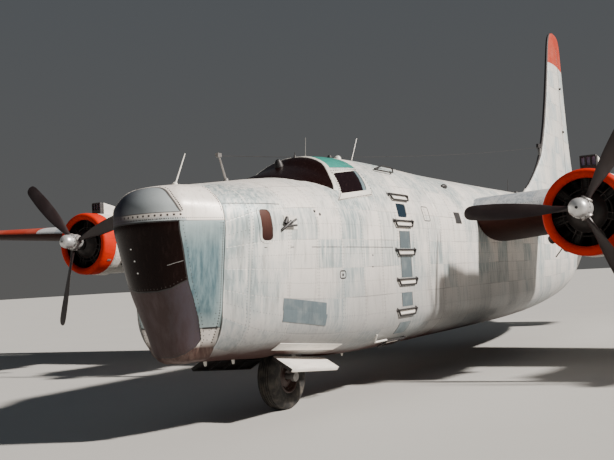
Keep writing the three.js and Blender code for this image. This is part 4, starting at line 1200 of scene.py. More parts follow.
def build_wings(m):
    hull = hull_mesh(FRONT_SEAM - 0.5, LENGTH, -GAP)
    for side, label in SIDES:
        whole = less(wing_mesh(side), hull)

        def region(panel, ahead, wide):
            return plan_prism(panel_outline(side, panel, ahead, wide), 1.5, 5.0)

        box = less(less(whole, region(FLAP, 0.006, 0.006)), region(AILERON, 0.075, 0.028))
        flap = within(whole, region(FLAP, 0, 0))
        aileron = within(whole, region(AILERON, 0, 0))

        for mesh, name, body, steep in ((box, "wing", "airframe", -0.05), (flap, "flap", "airframe", -0.3),
                                        (aileron, "aileron", "aileron_" + label, -0.3)):
            # Faces that point down take the underside's painted shade; the worn orange tips are paint
            paint(mesh, lambda p, n: 2 if n.z < steep else int(abs(p.x) > WING_TIP_PAINT))
            piece = piece_from(mesh, f"{name}_{label}_skin", body, "bare_aluminium", m["wing"],
                               m["orange_worn"], m["wing_under"], angle=40)
            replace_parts(piece, f"{name}_{label}")


# Fin: height, leading edge, trailing edge, thickness
FIN = Smooth([(3.35, 15.05, 21.95, 0.33), (3.76, 15.56, 21.95, 0.32), (4.08, 16.24, 21.90, 0.315),
              (4.5, 16.96, 21.75, 0.305), (5.0, 17.60, 21.53, 0.29), (6.05, 18.32, 21.29, 0.26),
              (7.55, 18.98, 21.09, 0.205), (8.2, 19.22, 21.03, 0.175), (8.7, 19.42, 20.98, 0.14),
              (8.93, 19.57, 20.92, 0.115), (9.08, 19.78, 20.82, 0.08), (HEIGHT, 20.08, 20.62, 0.04)],
             ("height", "leading", "trailing", "thickness"))
FIN_CUTS = [3.35, 3.55, 3.76, 3.92, 4.08, 4.28, 4.5, 4.75, 5.0, 5.08, 5.5, 6.05, 6.8, 7.55, 8.07, 8.2,
            8.45, 8.7, 8.82, 8.93, 9.0, 9.04, 9.08, 9.11, 9.135, 9.155, HEIGHT]
RUDDER = {"hinge": 20.35, "bottom": 3.9, "top": 8.72, "ahead": 0.058, "half": 0.4, "back": 22.6}
FIN_TIP = 8.07  # where the orange paint starts
# Height, radius of the dark boot
FIN_BOOT = [(3.80, 0.018), (4.6, 0.03), (5.0, 0.05), (8.9, 0.04), (9.08, 0.022)]

# Tailplane: half span, leading edge, trailing edge, thickness
TAIL = Smooth([(0.0001, 18.45, 21.25, 0.33), (0.6, 18.52, 21.24, 0.32), (3.3, 18.9, 20.98, 0.19),
               (3.9, 19.05, 20.85, 0.13), (4.12, 19.35, 20.6, 0.06)],
              ("x", "leading", "trailing", "thickness"))
TAIL_CUTS = [0.0001, 0.6, 1.2, 2.2, 3.3, 3.6, 3.8, 3.9, 3.98, 4.05, 4.09, 4.12]
TAIL_Z = 3.3
ELEVATOR = {"hinge": 20.25, "inner": 0.72, "outer": 3.96, "ahead": 0.062, "low": 2.9, "high": 3.7,
            "back": 22.0}


def fin_mesh(grow=0.0):
    rings = []
    for height in FIN_CUTS:
        f = FIN.at(height)
        chord = f["trailing"] - f["leading"]
        rings.append([(b, along(f["leading"] + a), height)
                      for a, b in aerofoil(chord, (f["thickness"] + grow) / chord, 0)])
    return skin(rings, name="fin")


def build_tail(m):
    hull = hull_mesh(FRONT_SEAM - 0.5, LENGTH, -GAP, 0, 0.2)
    whole = less(fin_mesh(), hull)

    def behind(ahead, wide):
        r = RUDDER
        return box_mesh((-r["half"], r["hinge"] - ahead, r["bottom"] - wide),
                        (r["half"], r["back"], r["top"] + wide))

    for mesh, name, body in ((within(whole, behind(0, 0)), "rudder", "rudder"),
                             (less(whole, behind(RUDDER["ahead"], 0.008)), "fin", "airframe")):
        paint(mesh, lambda p, n: int(p.z > FIN_TIP))
        piece = piece_from(mesh, name + "_skin", body, "bare_aluminium", m["fin"], m["orange_worn"],
                           angle=40)
        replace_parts(piece, name)
    boot = Smooth(FIN_BOOT, ("height", "radius"))
    rows = [z for z in FIN_CUTS if FIN_BOOT[0][0] < z <= FIN_BOOT[-1][0]]
    piece_from(tube([(0, along(FIN.at(z)["leading"] + boot.at(z)["radius"] * 0.7), z) for z in rows],
                    [boot.at(z)["radius"] for z in rows], 16), "fin_boot", "airframe", "tyre_rubber",
               m["boot"])
    fin = fin_mesh(0.006)

    def tail_rule(p, n):
        t = TAIL.at(abs(p.x))
        return int((p.y + LENGTH / 2 - t["leading"]) / (t["trailing"] - t["leading"]) < BOOT)

    for side, label in SIDES:
        rings = []
        for x in TAIL_CUTS:
            t = TAIL.at(x)
            chord = t["trailing"] - t["leading"]
            rings.append([(side * x, along(t["leading"] + a), TAIL_Z + b)
                          for a, b in aerofoil(chord, t["thickness"] / chord, 0)])
        whole = less(less(skin(rings), hull), fin)

        def region(ahead, wide):
            e = ELEVATOR
            x0, x1 = sorted((side * (e["inner"] - wide), side * (e["outer"] + wide)))
            return box_mesh((x0, e["hinge"] - ahead, e["low"]), (x1, e["back"], e["high"]))

        for mesh, name, body in ((within(whole, region(0, 0)), "elevator", "elevator_" + label),
                                 (less(whole, region(ELEVATOR["ahead"], 0.008)), "tailplane", "airframe")):
            paint(mesh, tail_rule)
            piece = piece_from(mesh, f"{name}_{label}_skin", body, "bare_aluminium", m["wing"], m["boot"],
                               angle=40)
            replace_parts(piece, f"{name}_{label}")


# Engines from the aircraft's left to its right: number, body, x, blade angle at rest in degrees
ENGINES = [
    (1, "propeller_outer_left", OUTER_ENGINE_X, 100),
    (2, "propeller_inner_left", INNER_ENGINE_X, 177.5),
    (3, "propeller_inner_right", -INNER_ENGINE_X, 30),
    (4, "propeller_outer_right", -OUTER_ENGINE_X, 135.5),
]
CYLINDERS = 7
COWL_MOUTH = 0.548


def hub_place(x):
    out = abs(x) - INNER_ENGINE_X
    return Vector((x, along(INNER_HUB[0] + out * math.tan(SWEEP)),
                   INNER_HUB[1] + out * math.tan(DIHEDRAL)))


# Blade sections: radius, chord, thickness, twist in degrees
BLADE = Smooth([(0.13, 0.105, 0.10, 0), (0.25, 0.11, 0.09, 38), (0.42, 0.155, 0.075, 40),
                (0.70, 0.24, 0.06, 35), (1.0, 0.285, 0.048, 29), (1.30, 0.30, 0.038, 23),
                (1.70, 0.272, 0.026, 17), (1.79, 0.255, 0.021, 16), (1.85, 0.225, 0.016, 15.5),
                (1.89, 0.172, 0.012, 15.2), (1.912, 0.100, 0.009, 15),
                (PROPELLER_RADIUS, 0.035, 0.008, 15)], ("radius", "chord", "thick", "twist"))
BLADE_CUTS = [0.13, 0.2, 0.27, 0.33, 0.42, 0.52, 0.65, 0.8, 0.95, 1.1, 1.25, 1.4, 1.55, 1.70, 1.79, 1.825,
              1.85, 1.872, 1.89, 1.903, 1.912, PROPELLER_RADIUS]
BLADE_OUTLINE = [(0.5, 0), (0.4, 0.22), (0.2, 0.42), (0, 0.5), (-0.2, 0.48), (-0.38, 0.33), (-0.5, 0),
                 (-0.38, -0.3), (-0.2, -0.4), (0, -0.42), (0.2, -0.36), (0.4, -0.2)]


def engine_place(x):
    return hub_place(x) - Vector((0, 0, COWL_DROP))


def blade_mesh(turn, centre):
    rings = []
    for radius in BLADE_CUTS:
        b = BLADE.at(radius)
        t = math.radians(b["twist"])
        ring = []
        for u, v in BLADE_OUTLINE:
            if radius < 0.3:
                blend = (radius - 0.13) / 0.2
                r = math.hypot(u, v) or 1
                u, v = u * blend + 0.42 * u / r * (1 - blend), v * blend + 0.55 * v / r * (1 - blend)
            a, c = u * b["chord"], v * b["thick"]
            ring.append(Vector((radius, c * math.cos(t) - a * math.sin(t),
                                a * math.cos(t) + c * math.sin(t))))
        rings.append(ring)
    spin = Matrix.Rotation(-turn, 3, "Y")
    return skin([[centre + spin @ p for p in ring] for ring in rings], name="blade")


def build_propeller(m, number, body, x, angle):
    centre = hub_place(x)
    blades = joined([blade_mesh(math.radians(angle + step), centre + Vector((0, 0.02, 0)))
                     for step in (0, 120, 240)])
    piece = piece_from(blades, f"propeller_{number}_blades", body, "propeller_paint", m["blade"], angle=50)
    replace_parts(piece, f"propeller_{number}")
    dome = [(0.022, -0.330), (0.024, -0.350), (0.066, -0.343), (0.102, -0.324), (0.130, -0.295),
            (0.147, -0.258), (0.154, -0.215), (0.155, -0.13), (0.165, -0.125), (0.165, -0.112),
            (0.13, -0.105), (0.13, -0.07), (0.160, -0.055), (0.168, -0.03), (0.168, 0.09), (0.12, 0.188),
            (0.022, 0.19)]
    piece_from(turned(dome, centre, AFT, 48), f"propeller_{number}_hub", body, "gear_steel", m["silver"])
    meshes = []
    for step in (0, 120, 240):
        way = spoke(math.radians(angle + step))
        meshes.append(turned([(0, 0.10), (0.086, 0.10), (0.086, 0.15), (0.096, 0.155), (0.096, 0.178),
                              (0.080, 0.19), (0, 0.19)], centre + Vector((0, 0.02, 0)), way, 24))
    piece_from(joined(meshes), f"propeller_{number}_clamps", body, "gear_steel", m["steel"])
    spot = drum(centre, AFT, 0.0235, -0.336, -0.325, 24)
    bolts = [drum(centre + Vector((0.16 * math.sin(t), 0, 0.16 * math.cos(t))), AFT, 0.009, -0.137, -0.12,
                  6)
             for t in around(12)]
    piece_from(joined([spot] + bolts), f"propeller_{number}_cap", body, "engine_iron", m["black"])


def build_engine(m, number, x):
    centre = engine_place(x)
    crank = turned([(0, 0.2), (0.14, 0.2), (0.15, 0.24), (0.2, 0.26), (0.24, 0.29), (0.30, 0.35),
                    (0.315, 0.38), (0.33, 0.39), (0.33, 0.42), (0.315, 0.43), (0.315, 1.15),
                    (0, 1.15)], centre, AFT, 40)
    meshes = [crank]
    fins = [(0, 0.22), (0.08, 0.22), (0.08, 0.29)]
    for k in range(9):
        r = 0.30 + 0.032 * k
        fins += [(0.105, r), (0.105, r + 0.012), (0.086, r + 0.013), (0.086, r + 0.031)]
    fins += [(0.088, 0.59), (0.06, 0.625), (0, 0.63)]
    for row in range(2):
        for i in range(CYLINDERS):
            t = (i + row / 2) * 2 * math.pi / CYLINDERS
            way = Vector((math.sin(t), 0, math.cos(t)))
            foot = centre + Vector((0, 0.54 + 0.26 * row, 0))
            meshes.append(turned(fins, foot, way, 14))
            across = way.cross(Vector(AFT))
            if row == 0:
                for side in (-1, 1):
                    a = foot + way * 0.25 + across * 0.045 * side + Vector((0, -0.16, 0))
                    b = foot + way * 0.56 + across * 0.06 * side + Vector((0, -0.09, 0))
                    meshes.append(tube([a, b], 0.014, 6))
    ring = turned([(0.37, 0.42), (0.385, 0.41), (0.40, 0.42), (0.385, 0.43)], centre, AFT, 40)
    piece = piece_from(joined(meshes + [ring]), f"engine_{number}_block", "airframe", "engine_iron",
                       m["iron"])
    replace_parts(piece, f"engine_{number}")


def build_cowl(m, number, x):
    centre = engine_place(x)
    r = COWL_RADIUS
    profile = [(COWL_MOUTH, 0.325), (COWL_MOUTH + 0.003, 0.295), (r - 0.132, 0.268), (r - 0.102, 0.253),
               (r - 0.072, 0.250), (r - 0.045, 0.256), (r - 0.022, 0.275), (r - 0.008, 0.31), (r, 0.37),
               (r, 0.45), (r, 0.615), (r - 0.03, 0.615), (r - 0.03, 0.38), (r - 0.07, 0.355)]
    mesh = turned(profile, centre, AFT, 96)

    def rule(p, n):
        out = math.hypot(p.x - centre.x, p.z - centre.z)
        return 1 if out < r - 0.02 and p.y - centre.y > 0.35 else 0

    paint(mesh, rule)
    piece = piece_from(mesh, f"cowl_{number}_skin", "airframe", "orange_paint", m["orange"], m["iron"],
                       angle=50)
    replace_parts(piece, f"cowl_ring_{number}")
    ways = [spoke(t) for t in around(72)]
    screws = rivet_heads([centre + way * (r - 0.003) + Vector((0, 0.59, 0)) for way in ways], ways, 0.006)
    latches = [box_at(centre + spoke(t) * (r - 0.002) + Vector((0, 0.49, 0)), (0.05, 0.12, 0.008), t)
               for t in (math.radians(d) for d in (35, 145, 215, 325))]
    piece_from(joined([screws] + latches), f"cowl_{number}_fasteners", "airframe", "gear_steel",
               m["steel"])


def box_at(centre, size, turn):
    """A small bevelled block whose third side points out at an angle in the x-z plane."""
    out = spoke(turn)
    side = Vector((-math.sin(turn), 0, math.cos(turn)))
    rings = []
    for depth, scale in ((-0.02, 1), (size[2] * 0.5, 1), (size[2], 0.8)):
        middle = centre + out * depth
        rings.append([middle + side * size[0] / 2 * a * scale + Vector((0, size[1] / 2 * b * scale, 0))
                      for a, b in ((1, 1), (-1, 1), (-1, -1), (1, -1))])
    return skin(rings, name="block")


# Nacelle: distance behind the hub, half width, height above and below the thrust line
NACELLE = Smooth([(0.622, 0.70, 0.70, 0.70), (1.43, 0.69, 0.72, 0.69), (2.03, 0.65, 0.74, 0.64),
                  (2.93, 0.56, 0.64, 0.54), (3.83, 0.42, 0.47, 0.42), (4.63, 0.23, 0.30, 0.30),
                  (5.03, 0.06, 0.17, 0.16)], ("back", "half", "up", "down"))
FIREWALL, NACELLE_END = 0.622, 5.03
SCOOP = {"front": 0.75, "half": 0.137, "low": 0.77, "high": 0.96, "foot": 0.72, "throat": 0.80}
# Dark hollow behind the engine, cowl flaps round the nacelle's front (angles in degrees)
ENGINE_BAY = {"depth": 1.31, "radius": 0.668}
COWL_FLAPS = {"count": 14, "first": 198, "step": 10.4, "radius": 0.70, "thick": 0.011}


def nacelle_ring(centre, back, inset=0.0, shift=0.0):
    n = NACELLE.at(back)
    ring = []
    for t in around(56):
        reach = (n["up"] if math.sin(t) >= 0 else n["down"]) - inset
        ring.append(centre + Vector(((n["half"] - inset) * math.cos(t), back + shift,
                                     reach * math.sin(t))))
    return ring


def build_nacelle(m, number, x, wing):
    centre = engine_place(x)
    body = skin([nacelle_ring(centre, FIREWALL + (NACELLE_END - FIREWALL) * i / 34) for i in range(35)])
    inside = skin([nacelle_ring(centre, FIREWALL, 0.035, -0.05), nacelle_ring(centre, 1.29, 0.06)])
    front, low, high = (SCOOP[k] for k in ("front", "low", "high"))
    # Scoop sections: distance back, half width, top
    rows = [(front, 0.130, high - 0.010), (front + 0.012, 0.137, high), (0.86, 0.137, high - 0.004),
            (1.0, 0.136, high - 0.03), (1.25, 0.13, high - 0.075), (1.55, 0.125, high - 0.14),
            (1.85, 0.115, high - 0.21), (2.03, 0.10, 0.70)]
    rings = []
    for back, half, top in rows:
        outline = rounded([(-half, 0.40), (half, 0.40), (half, top), (-half, top)], 0.02, 4)
        rings.append([centre + Vector((a, back, b)) for a, b in outline])
    mesh = fused(body, skin(rings))
    inner = SCOOP["half"] - 0.02
    width = (2 * inner - 0.05) / 3
    slots = []
    for k in range(3):
        left = -inner + k * (width + 0.025)
        outline = rounded([(left, low + 0.02), (left + width, low + 0.02), (left + width, high - 0.03),
                           (left, high - 0.03)], 0.008, 3)
        slots.append(skin([[centre + Vector((a, back, b)) for a, b in outline]
                           for back in (0.7, SCOOP["throat"])]))
    for cutter in [inside] + slots + [wing]:
        mesh = less(mesh, cutter)

    def rule(p, n):
        up, back = p.z - centre.z, p.y - centre.y
        throat = SCOOP["throat"]
        if up > SCOOP["foot"] and abs(p.x - x) < inner + 0.001 and up < high - 0.02:
            if front + 0.01 < back < throat + 0.005:
                return 3 if back > throat - 0.002 else 1
        if up > SCOOP["foot"] and back < front + 0.1:
            return 1
        within_bay = back < ENGINE_BAY["depth"] and math.hypot(p.x - x, up) < ENGINE_BAY["radius"]
        return 2 if within_bay else 0

    paint(mesh, rule)
    piece = piece_from(mesh, f"nacelle_{number}_skin", "airframe", "white_paint", m["white"], m["black"],
                       m["iron"], m["slot"], angle=38)
    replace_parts(piece, f"nacelle_{number}")
    flaps = []
    c = COWL_FLAPS
    for k in range(c["count"]):
        t0, t1 = (math.radians(c["first"] + c["step"] * (k + f)) for f in (0.04, 0.96))
        rings = []
        for back, out in ((0.64, 0.012), (0.92, 0.026)):
            arc = [t0 + (t1 - t0) * j / 4 for j in range(5)]
            rings.append([centre + Vector(((c["radius"] + o) * math.cos(t), back,
                                           (c["radius"] + o) * math.sin(t)))
                          for o, ts in ((out, arc), (out - c["thick"], arc[::-1])) for t in ts])
        flaps.append(skin(rings))
    piece_from(joined(flaps), f"cowl_flaps_{number}", "airframe", "white_paint", m["hull"])
    pipes = []
    for side in (-1, 1):
        t = math.radians(-90 + side * 48)
        start = centre + Vector((0.66 * math.cos(t), 0.98, 0.66 * math.sin(t)))
        way = Vector((0.13 * math.cos(t), 0.42, 0.13 * math.sin(t)))
        pipes.append(tube([start, start + way * 0.6, start + way], [0.07, 0.075, 0.08], 18))
    way = -1 if x > 0 else 1
    pipes.append(tube([centre + Vector((way * a, back, -b)) for a, back, b in
                       ((0.55, 0.93, 0.30), (0.66, 0.95, 0.35), (0.75, 1.0, 0.39))], [0.07, 0.07, 0.075],
                      18))
    if number == 2:
        pipes.append(tube([centre + Vector((-0.50, 0.95, -0.47)), centre + Vector((-0.68, 0.95, -0.685))],
                          0.011, 8))
    piece_from(joined(pipes), f"exhausts_{number}", "airframe", "engine_iron", m["iron"])


def build_engines(m):
    wings = {side: within(wing_mesh(side), box_mesh((-20, 2, 2), (20, 14, 5))) for side in (1, -1)}
    for number, body, x, angle in ENGINES:
        build_propeller(m, number, body, x, angle)
        build_engine(m, number, x)
        build_cowl(m, number, x)
        build_nacelle(m, number, x, wings[1 if x > 0 else -1])


# Wheels: tyre and hub by profile of (radius, distance from the wheel's middle)
def build_wheel(m, name, body, x, station, radius, half, rim, bore):
    centre = Vector((x, along(station), radius))
    r, h = radius, half
    tyre = [(rim, -h * 0.80), (rim + 0.012, -h * 0.86), (rim + 0.05, -h * 0.955), (r * 0.74, -h),
            (r * 0.86, -h * 0.965), (r * 0.945, -h * 0.83), (r * 0.985, -h * 0.66), (r - 0.004, -h * 0.50)]
    for k in (-0.36, -0.12, 0.12, 0.36):
        tyre += [(r, (k - 0.045) * h), (r - 0.012, (k - 0.03) * h), (r - 0.012, (k + 0.03) * h),
                 (r, (k + 0.045) * h)]
    tyre += [(a, -b) for a, b in tyre[7::-1]]
    piece = piece_from(turned(tyre, centre, LEFT, 64), name + "_tyre", body, "tyre_rubber", m["tyre"],
                       angle=40)
    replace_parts(piece, name)
    disc = [(bore, -h * 0.55), (bore + 0.03, -h * 0.6), (rim * 0.45, -h * 0.50), (rim * 0.62, -h * 0.44),
            (rim * 0.80, -h * 0.62), (rim * 0.86, -h * 0.80), (rim * 0.93, -h * 0.84),
            (rim - 0.002, -h * 0.80)]
    disc += [(a, -b) for a, b in disc[::-1]]
    meshes = [turned(disc, centre, LEFT, 56)]
    for side in (-1, 1):
        for t in around(12):
            at = centre + Vector((side * h * 0.44, rim * 0.72 * math.cos(t), rim * 0.72 * math.sin(t)))
            meshes.append(turned([(0, 0), (0.014, 0), (0.014, 0.022), (0.007, 0.032), (0, 0.032)], at,
                                 (side, 0, 0), 6))
    piece_from(joined(meshes), name + "_rim", body, "gear_steel", m["rim"])


MAIN = {"half": 0.225, "rim": 0.33, "bore": 0.072, "leg": 0.345, "top": 2.7}


def build_main_gear(m):
    for side, label in SIDES:
        name = "main_wheel_" + label
        build_wheel(m, name, name, side * MAIN_WHEEL["x"], MAIN_WHEEL["station"], MAIN_WHEEL["radius"],
                    MAIN["half"], MAIN["rim"], MAIN["bore"])
        y, z = along(MAIN_WHEEL["station"]), MAIN_WHEEL["radius"]
        x = side * MAIN_WHEEL["x"]
        leg = x + side * MAIN["leg"]
        wing = wing_mesh(side)
        cylinder = [(0, 0), (0.10, 0), (0.125, 0.02), (0.125, 0.12), (0.112, 0.14), (0.112, 0.95),
                    (0.12, 0.97), (0.12, MAIN["top"] - 1.45), (0, MAIN["top"] - 1.45)]
        bars = [
            turned([(0, -0.02), (0.062, -0.02), (0.062, 0.55), (0.045, 0.56), (0, 0.56)],
                   (x - side * 0.15, y, z), (side, 0, 0), 28),
            turned([(0, -0.12), (0.085, -0.12), (0.092, -0.09), (0.092, 0.10), (0.074, 0.13), (0.07, 0.9),
                    (0, 0.9)], (leg, y, z), UP, 28),
            turned(cylinder, (leg, y, 1.45), (0, -0.048, 1), 32),
            tube([(leg, y + 0.06, 1.28), (leg, y + 0.45, 1.87), (leg, y + 0.9, 2.62)], 0.042, 14),
            tube([(leg, y, 1.58), (leg + side * 0.7, y, 2.7)], 0.046, 14),
            tube([(leg, y + 0.085, 0.80), (leg, y + 0.34, 1.14), (leg, y + 0.10, 1.48)], 0.026, 10),
            tube([(leg - side * 0.06, y + 0.085, 0.80), (leg - side * 0.035, y + 0.34, 1.14)], 0.02, 10),
            tube([(leg + side * 0.06, y + 0.085, 0.80), (leg + side * 0.035, y + 0.34, 1.14)], 0.02, 10),
            drum((leg, y + 0.34, 1.14), LEFT, 0.05, -0.07, 0.07, 16),
        ]
        piece = piece_from(joined([less(bar, wing) for bar in bars]), f"main_leg_{label}_strut",
                           "airframe", "gear_steel", m["steel"])
        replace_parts(piece, "main_leg_" + label)
        hose = [(leg + side * 0.09, y - 0.03, 0.78), (leg + side * 0.13, y - 0.10, 1.05),
                (leg + side * 0.12, y - 0.12, 1.4), (leg + side * 0.10, y - 0.13, 1.9)]
        piece_from(tube(curve(hose, 16), 0.011, 8), f"brake_hose_{label}", "airframe", "tyre_rubber",
                   m["black"])


def curve(points, count):
    """Points of a smooth curve through the given ones."""
    points = [Vector(p) for p in points]
    made = []
    for i in range(count + 1):
        t = i / count * (len(points) - 1)
        k = min(int(t), len(points) - 2)
        u = t - k
        p0, p1, p2, p3 = (points[min(max(k + j, 0), len(points) - 1)] for j in (-1, 0, 1, 2))
        made.append(0.5 * (2 * p1 + (p2 - p0) * u + (2 * p0 - 5 * p1 + 4 * p2 - p3) * u ** 2
                           + (3 * p1 - p0 - 3 * p2 + p3) * u ** 3))
    return made


NOSE_GEAR = {"half": 0.15, "rim": 0.235, "bore": 0.048, "axle": 0.04, "arm": 0.205, "crown": 1.04,
             "top": 1.89}


def build_nose_gear(m):
    y, z = along(NOSE_WHEEL["station"]), NOSE_WHEEL["radius"]
    g = NOSE_GEAR
    build_wheel(m, "nose_wheel", "nose_wheel", 0, NOSE_WHEEL["station"], NOSE_WHEEL["radius"], g["half"],
                g["rim"], g["bore"])
    fork = [turned([(0, -0.245), (0.03, -0.245), (0.04, -0.235), (0.04, 0.235), (0.03, 0.245), (0, 0.245)],
                   (0, y, z), LEFT, 28)]
    for side in (-1, 1):
        x = side * g["arm"]
        path = [(x, y, z - 0.058), (x, y, z + 0.12), (x, y, z + 0.35), (x, y, g["crown"] - 0.03)]
        fork.append(tube(path, [0.030, 0.034, 0.031, 0.036], 18))
        fork.append(turned([(0, -0.035), (0.062, -0.035), (0.07, -0.025), (0.07, 0.025), (0.062, 0.035),
                            (0, 0.035)], (x, y, z), LEFT, 24))
    outline = rounded([(-0.243, g["crown"] - 0.058), (0.243, g["crown"] - 0.058),
                       (0.243, g["crown"] - 0.012), (0.10, g["crown"]), (-0.10, g["crown"]),
                       (-0.243, g["crown"] - 0.012)], 0.02, 3)
    fork.append(skin([[(a, y + b, c) for a, c in outline] for b in (-0.068, 0.068)]))
    fork.append(tube([(-0.06, y + 0.07, 1.0), (-0.06, y + 0.14, 0.93), (0.06, y + 0.14, 0.93),
                      (0.06, y + 0.07, 1.0)], 0.014, 10))
    piece = piece_from(joined(fork), "nose_fork_arms", "nose_fork", "gear_steel", m["steel"])
    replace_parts(piece, "nose_fork")
    low = g["crown"] + 0.006
    leg = [
        turned([(0, 0), (0.055, 0), (0.055, 0.05), (0.05, 0.055), (0.05, 0.15), (0.072, 0.16),
                (0.075, 0.18), (0.075, 0.38), (0.066, 0.40), (0.066, g["top"] - low),
                (0, g["top"] - low)], (0, y, low), UP, 32),
        tube([(0, y + 0.04, low + 0.26), (0, y + 0.62, g["top"] - 0.06)], 0.036, 16),
        tube([(-0.10, y + 0.10, low + 0.33), (0.10, y + 0.10, low + 0.33)], 0.03, 14),
        tube([(0.07, y - 0.05, low + 0.2), (0.10, y - 0.09, low + 0.5), (0.10, y - 0.09, g["top"] - 0.1)],
             0.012, 8),
    ]
    piece = piece_from(joined(leg), "nose_leg_strut", "airframe", "gear_steel", m["steel"])
    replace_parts(piece, "nose_leg")
    lamp = turned([(0, -0.10), (0.07, -0.098), (0.082, -0.085), (0.084, -0.07), (0.075, -0.02),
                   (0.05, 0.03), (0, 0.05)], (0.0, y - 0.11, low + 0.42), AFT, 28)
    piece_from(lamp, "taxi_lamp", "airframe", "gear_steel", m["lamp"])


# Nose gear doors as parked: hinge at the bay's edge, hanging outward and down
BAY_DOOR = {"x": 0.522, "thick": 0.05, "droop": math.radians(30),
            "front": {"station": 1.90, "z": 0.850, "width": 0.335},
            "rear": {"station": 3.23, "z": 0.690, "width": 0.276}}


def build_nose_doors(m):
    d = BAY_DOOR
    turn, thick = d["droop"], d["thick"]

    def place(side, part, down, t):
        """A point by its part of the width, its depth and its part of the length."""
        station, z, width = (d["front"][k] + (d["rear"][k] - d["front"][k]) * t
                             for k in ("station", "z", "width"))
        out = width * part
        return Vector((side * (d["x"] + out * math.cos(turn) - down * math.sin(turn)), along(station),
                       z - out * math.sin(turn) - down * math.cos(turn)))

    def slab(side, low, high, first, last):
        outline = rounded(corners(low, high), 0.03, 3)
        return skin([[place(side, a, depth, b) for a, b in outline] for depth in (first, last)])

    for side, label in SIDES:
        rings = []
        for k, depth in ((0.992, 0.0005), (1, 0.005), (1, thick - 0.004), (0.992, thick)):
            plan = rounded([(0.002, 0.002), (0.998, 0.002), (0.998, 0.998), (0.002, 0.998)], 0.03, 4)
            rings.append([place(side, 0.5 + (a - 0.5) * k, depth, 0.5 + (b - 0.5) * k) for a, b in plan])
        plate = skin(rings)
        for k in range(4):
            plate = less(plate,
                         slab(side, (0.10, 0.03 + 0.24 * k), (0.90, 0.245 + 0.24 * k), 0.016,
                              thick + 0.02))
        body = "nose_gear_door_" + label
        out = place(side, 0, 0, 0) - place(side, 0, 1, 0)

        # Painted shade: faces turned away from the outside take the dark engine iron, except the port
        # door's far edge
        def rule(p, n):
            part = (p.x * side - d["x"]) / d["front"]["width"] / math.cos(turn)
            return int(n.dot(out) < 0.3 and not (side > 0 and part > 0.86 and n.dot(out) > -0.3))

        paint(plate, rule)
        piece = piece_from(plate, body + "_plate", body, "white_paint", m["door"], m["iron"])
        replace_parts(piece, body)
        points = [place(side, a, 0.001, 0.03 + 0.94 * k / 22) for k in range(23) for a in (0.06, 0.94)]
        piece_from(rivet_heads(points, [out] * len(points), 0.005), body + "_rivets", body, "gear_steel",
                   m["iron"])


# Steps up the port side: station, height, width
STEPS = [(5.00, 3.03, 0.70), (4.895, 2.614, 0.70), (4.90, 2.17, 0.71), (4.90, 1.715, 0.72),
         (4.82, 1.257, 0.70), (4.98, 0.80, 0.66)]
STEP = {"reach": 0.028, "drop": 0.085, "low": 0.8, "bar": 0.014}
# Pale blue foot wells between the steps: station, lower and upper height
FOOT_WELLS = [(4.91, 2.195, 2.46), (4.91, 1.741, 2.056), (4.87, 1.30, 1.51), (4.84, 0.89, 1.06)]
WELL_WIDTH = 0.38
# Grey-blue sheet low behind the nose, in two strips: start and end (station, height)
PATCH = [((1.505, 1.379), (2.38, 1.259)), ((1.505, 1.514), (2.38, 1.408))]
PATCH_WIDTH = 0.15
# Pale strip over each nose gear door, a painted patch of reflected light on the hull: start and end of its
# middle line (station, height)
DOOR_LIGHT_STRIP = ((1.66, 0.985), (3.16, 0.84))


def hull_normal(station, height, side=1):
    up = hull_point(station, height + 0.01, side) - hull_point(station, height - 0.01, side)
    back = hull_point(station + 0.02, height, side) - hull_point(station - 0.02, height, side)
    return (back.cross(up) * side).normalized()


def hull_strip(line, width, proud, side=1):
    """A flat strip along a line of (station, height) on the hull."""
    return ribbon([hull_point(s, z, side) for s, z in line], [hull_normal(s, z, side) for s, z in line],
                  width, proud)


MAST_FOOT, MAST_TOP = (1.80, 3.15), (1.67, 3.46)  # station and height


def build_steps(m):
    bars, plates, wells = [], [], []
    for station, height, width in STEPS:
        def at(along_step, down):
            s, z = station + along_step * width / 2, height - down
            return hull_point(s, z) + hull_normal(s, z) * STEP["reach"]

        path = [at(k / 4, 0) for k in range(-4, 5)] + [at(STEP["low"] * k / 4, STEP["drop"])
                                                       for k in range(4, -5, -1)]
        path.append(path[0])
        bars.append(tube(path, STEP["bar"], 10))
        for k in (-1, 1):
            s = station + k * width / 2
            normal = hull_normal(s, height)
            bars.append(turned([(0, -0.003), (0.034, -0.003), (0.034, 0.006), (0.022, 0.012),
                                (0.014, 0.03), (0, 0.03)], hull_point(s, height), normal, 20))
        row = [hull_point(station + width * 0.42 * k / 4, height - STEP["drop"] / 2) for k in range(-4, 5)]
        plates.append(ribbon(row, [hull_normal(station, height)] * 9, STEP["drop"] * 0.8, 0.012))
    for station, low, high in FOOT_WELLS:
        line = between((station, low), (station, high), 6)
        wells.append(hull_strip(line, WELL_WIDTH, 0.004))
        bars.append(hull_strip(line, WELL_WIDTH + 0.03, 0.002))
    wells += [hull_strip(between(start, end, 8), PATCH_WIDTH, 0.003) for start, end in PATCH]
    low = [hull_point(s, 0.86) + hull_normal(s, 0.86) * 0.05 for s in (4.05, 4.42)]
    plates.append(tube([hull_point(4.02, 0.93), *low, hull_point(4.45, 0.80)], 0.014, 10))
    piece_from(joined(bars), "boarding_steps", "airframe", "gear_steel", m["black"])
    piece_from(joined(plates), "step_plates", "airframe", "gear_steel", m["door"])
    piece_from(joined(wells), "foot_wells", "airframe", "gear_steel", m["well"])


def outline_on_hull(low, high, width):
    """A thin frame on the hull between two corners (station, height)."""
    line = spaced(rounded(corners(low, high), 0.04, 3), 0.03)
    return hull_strip(line + line[:1], width, 0.003)


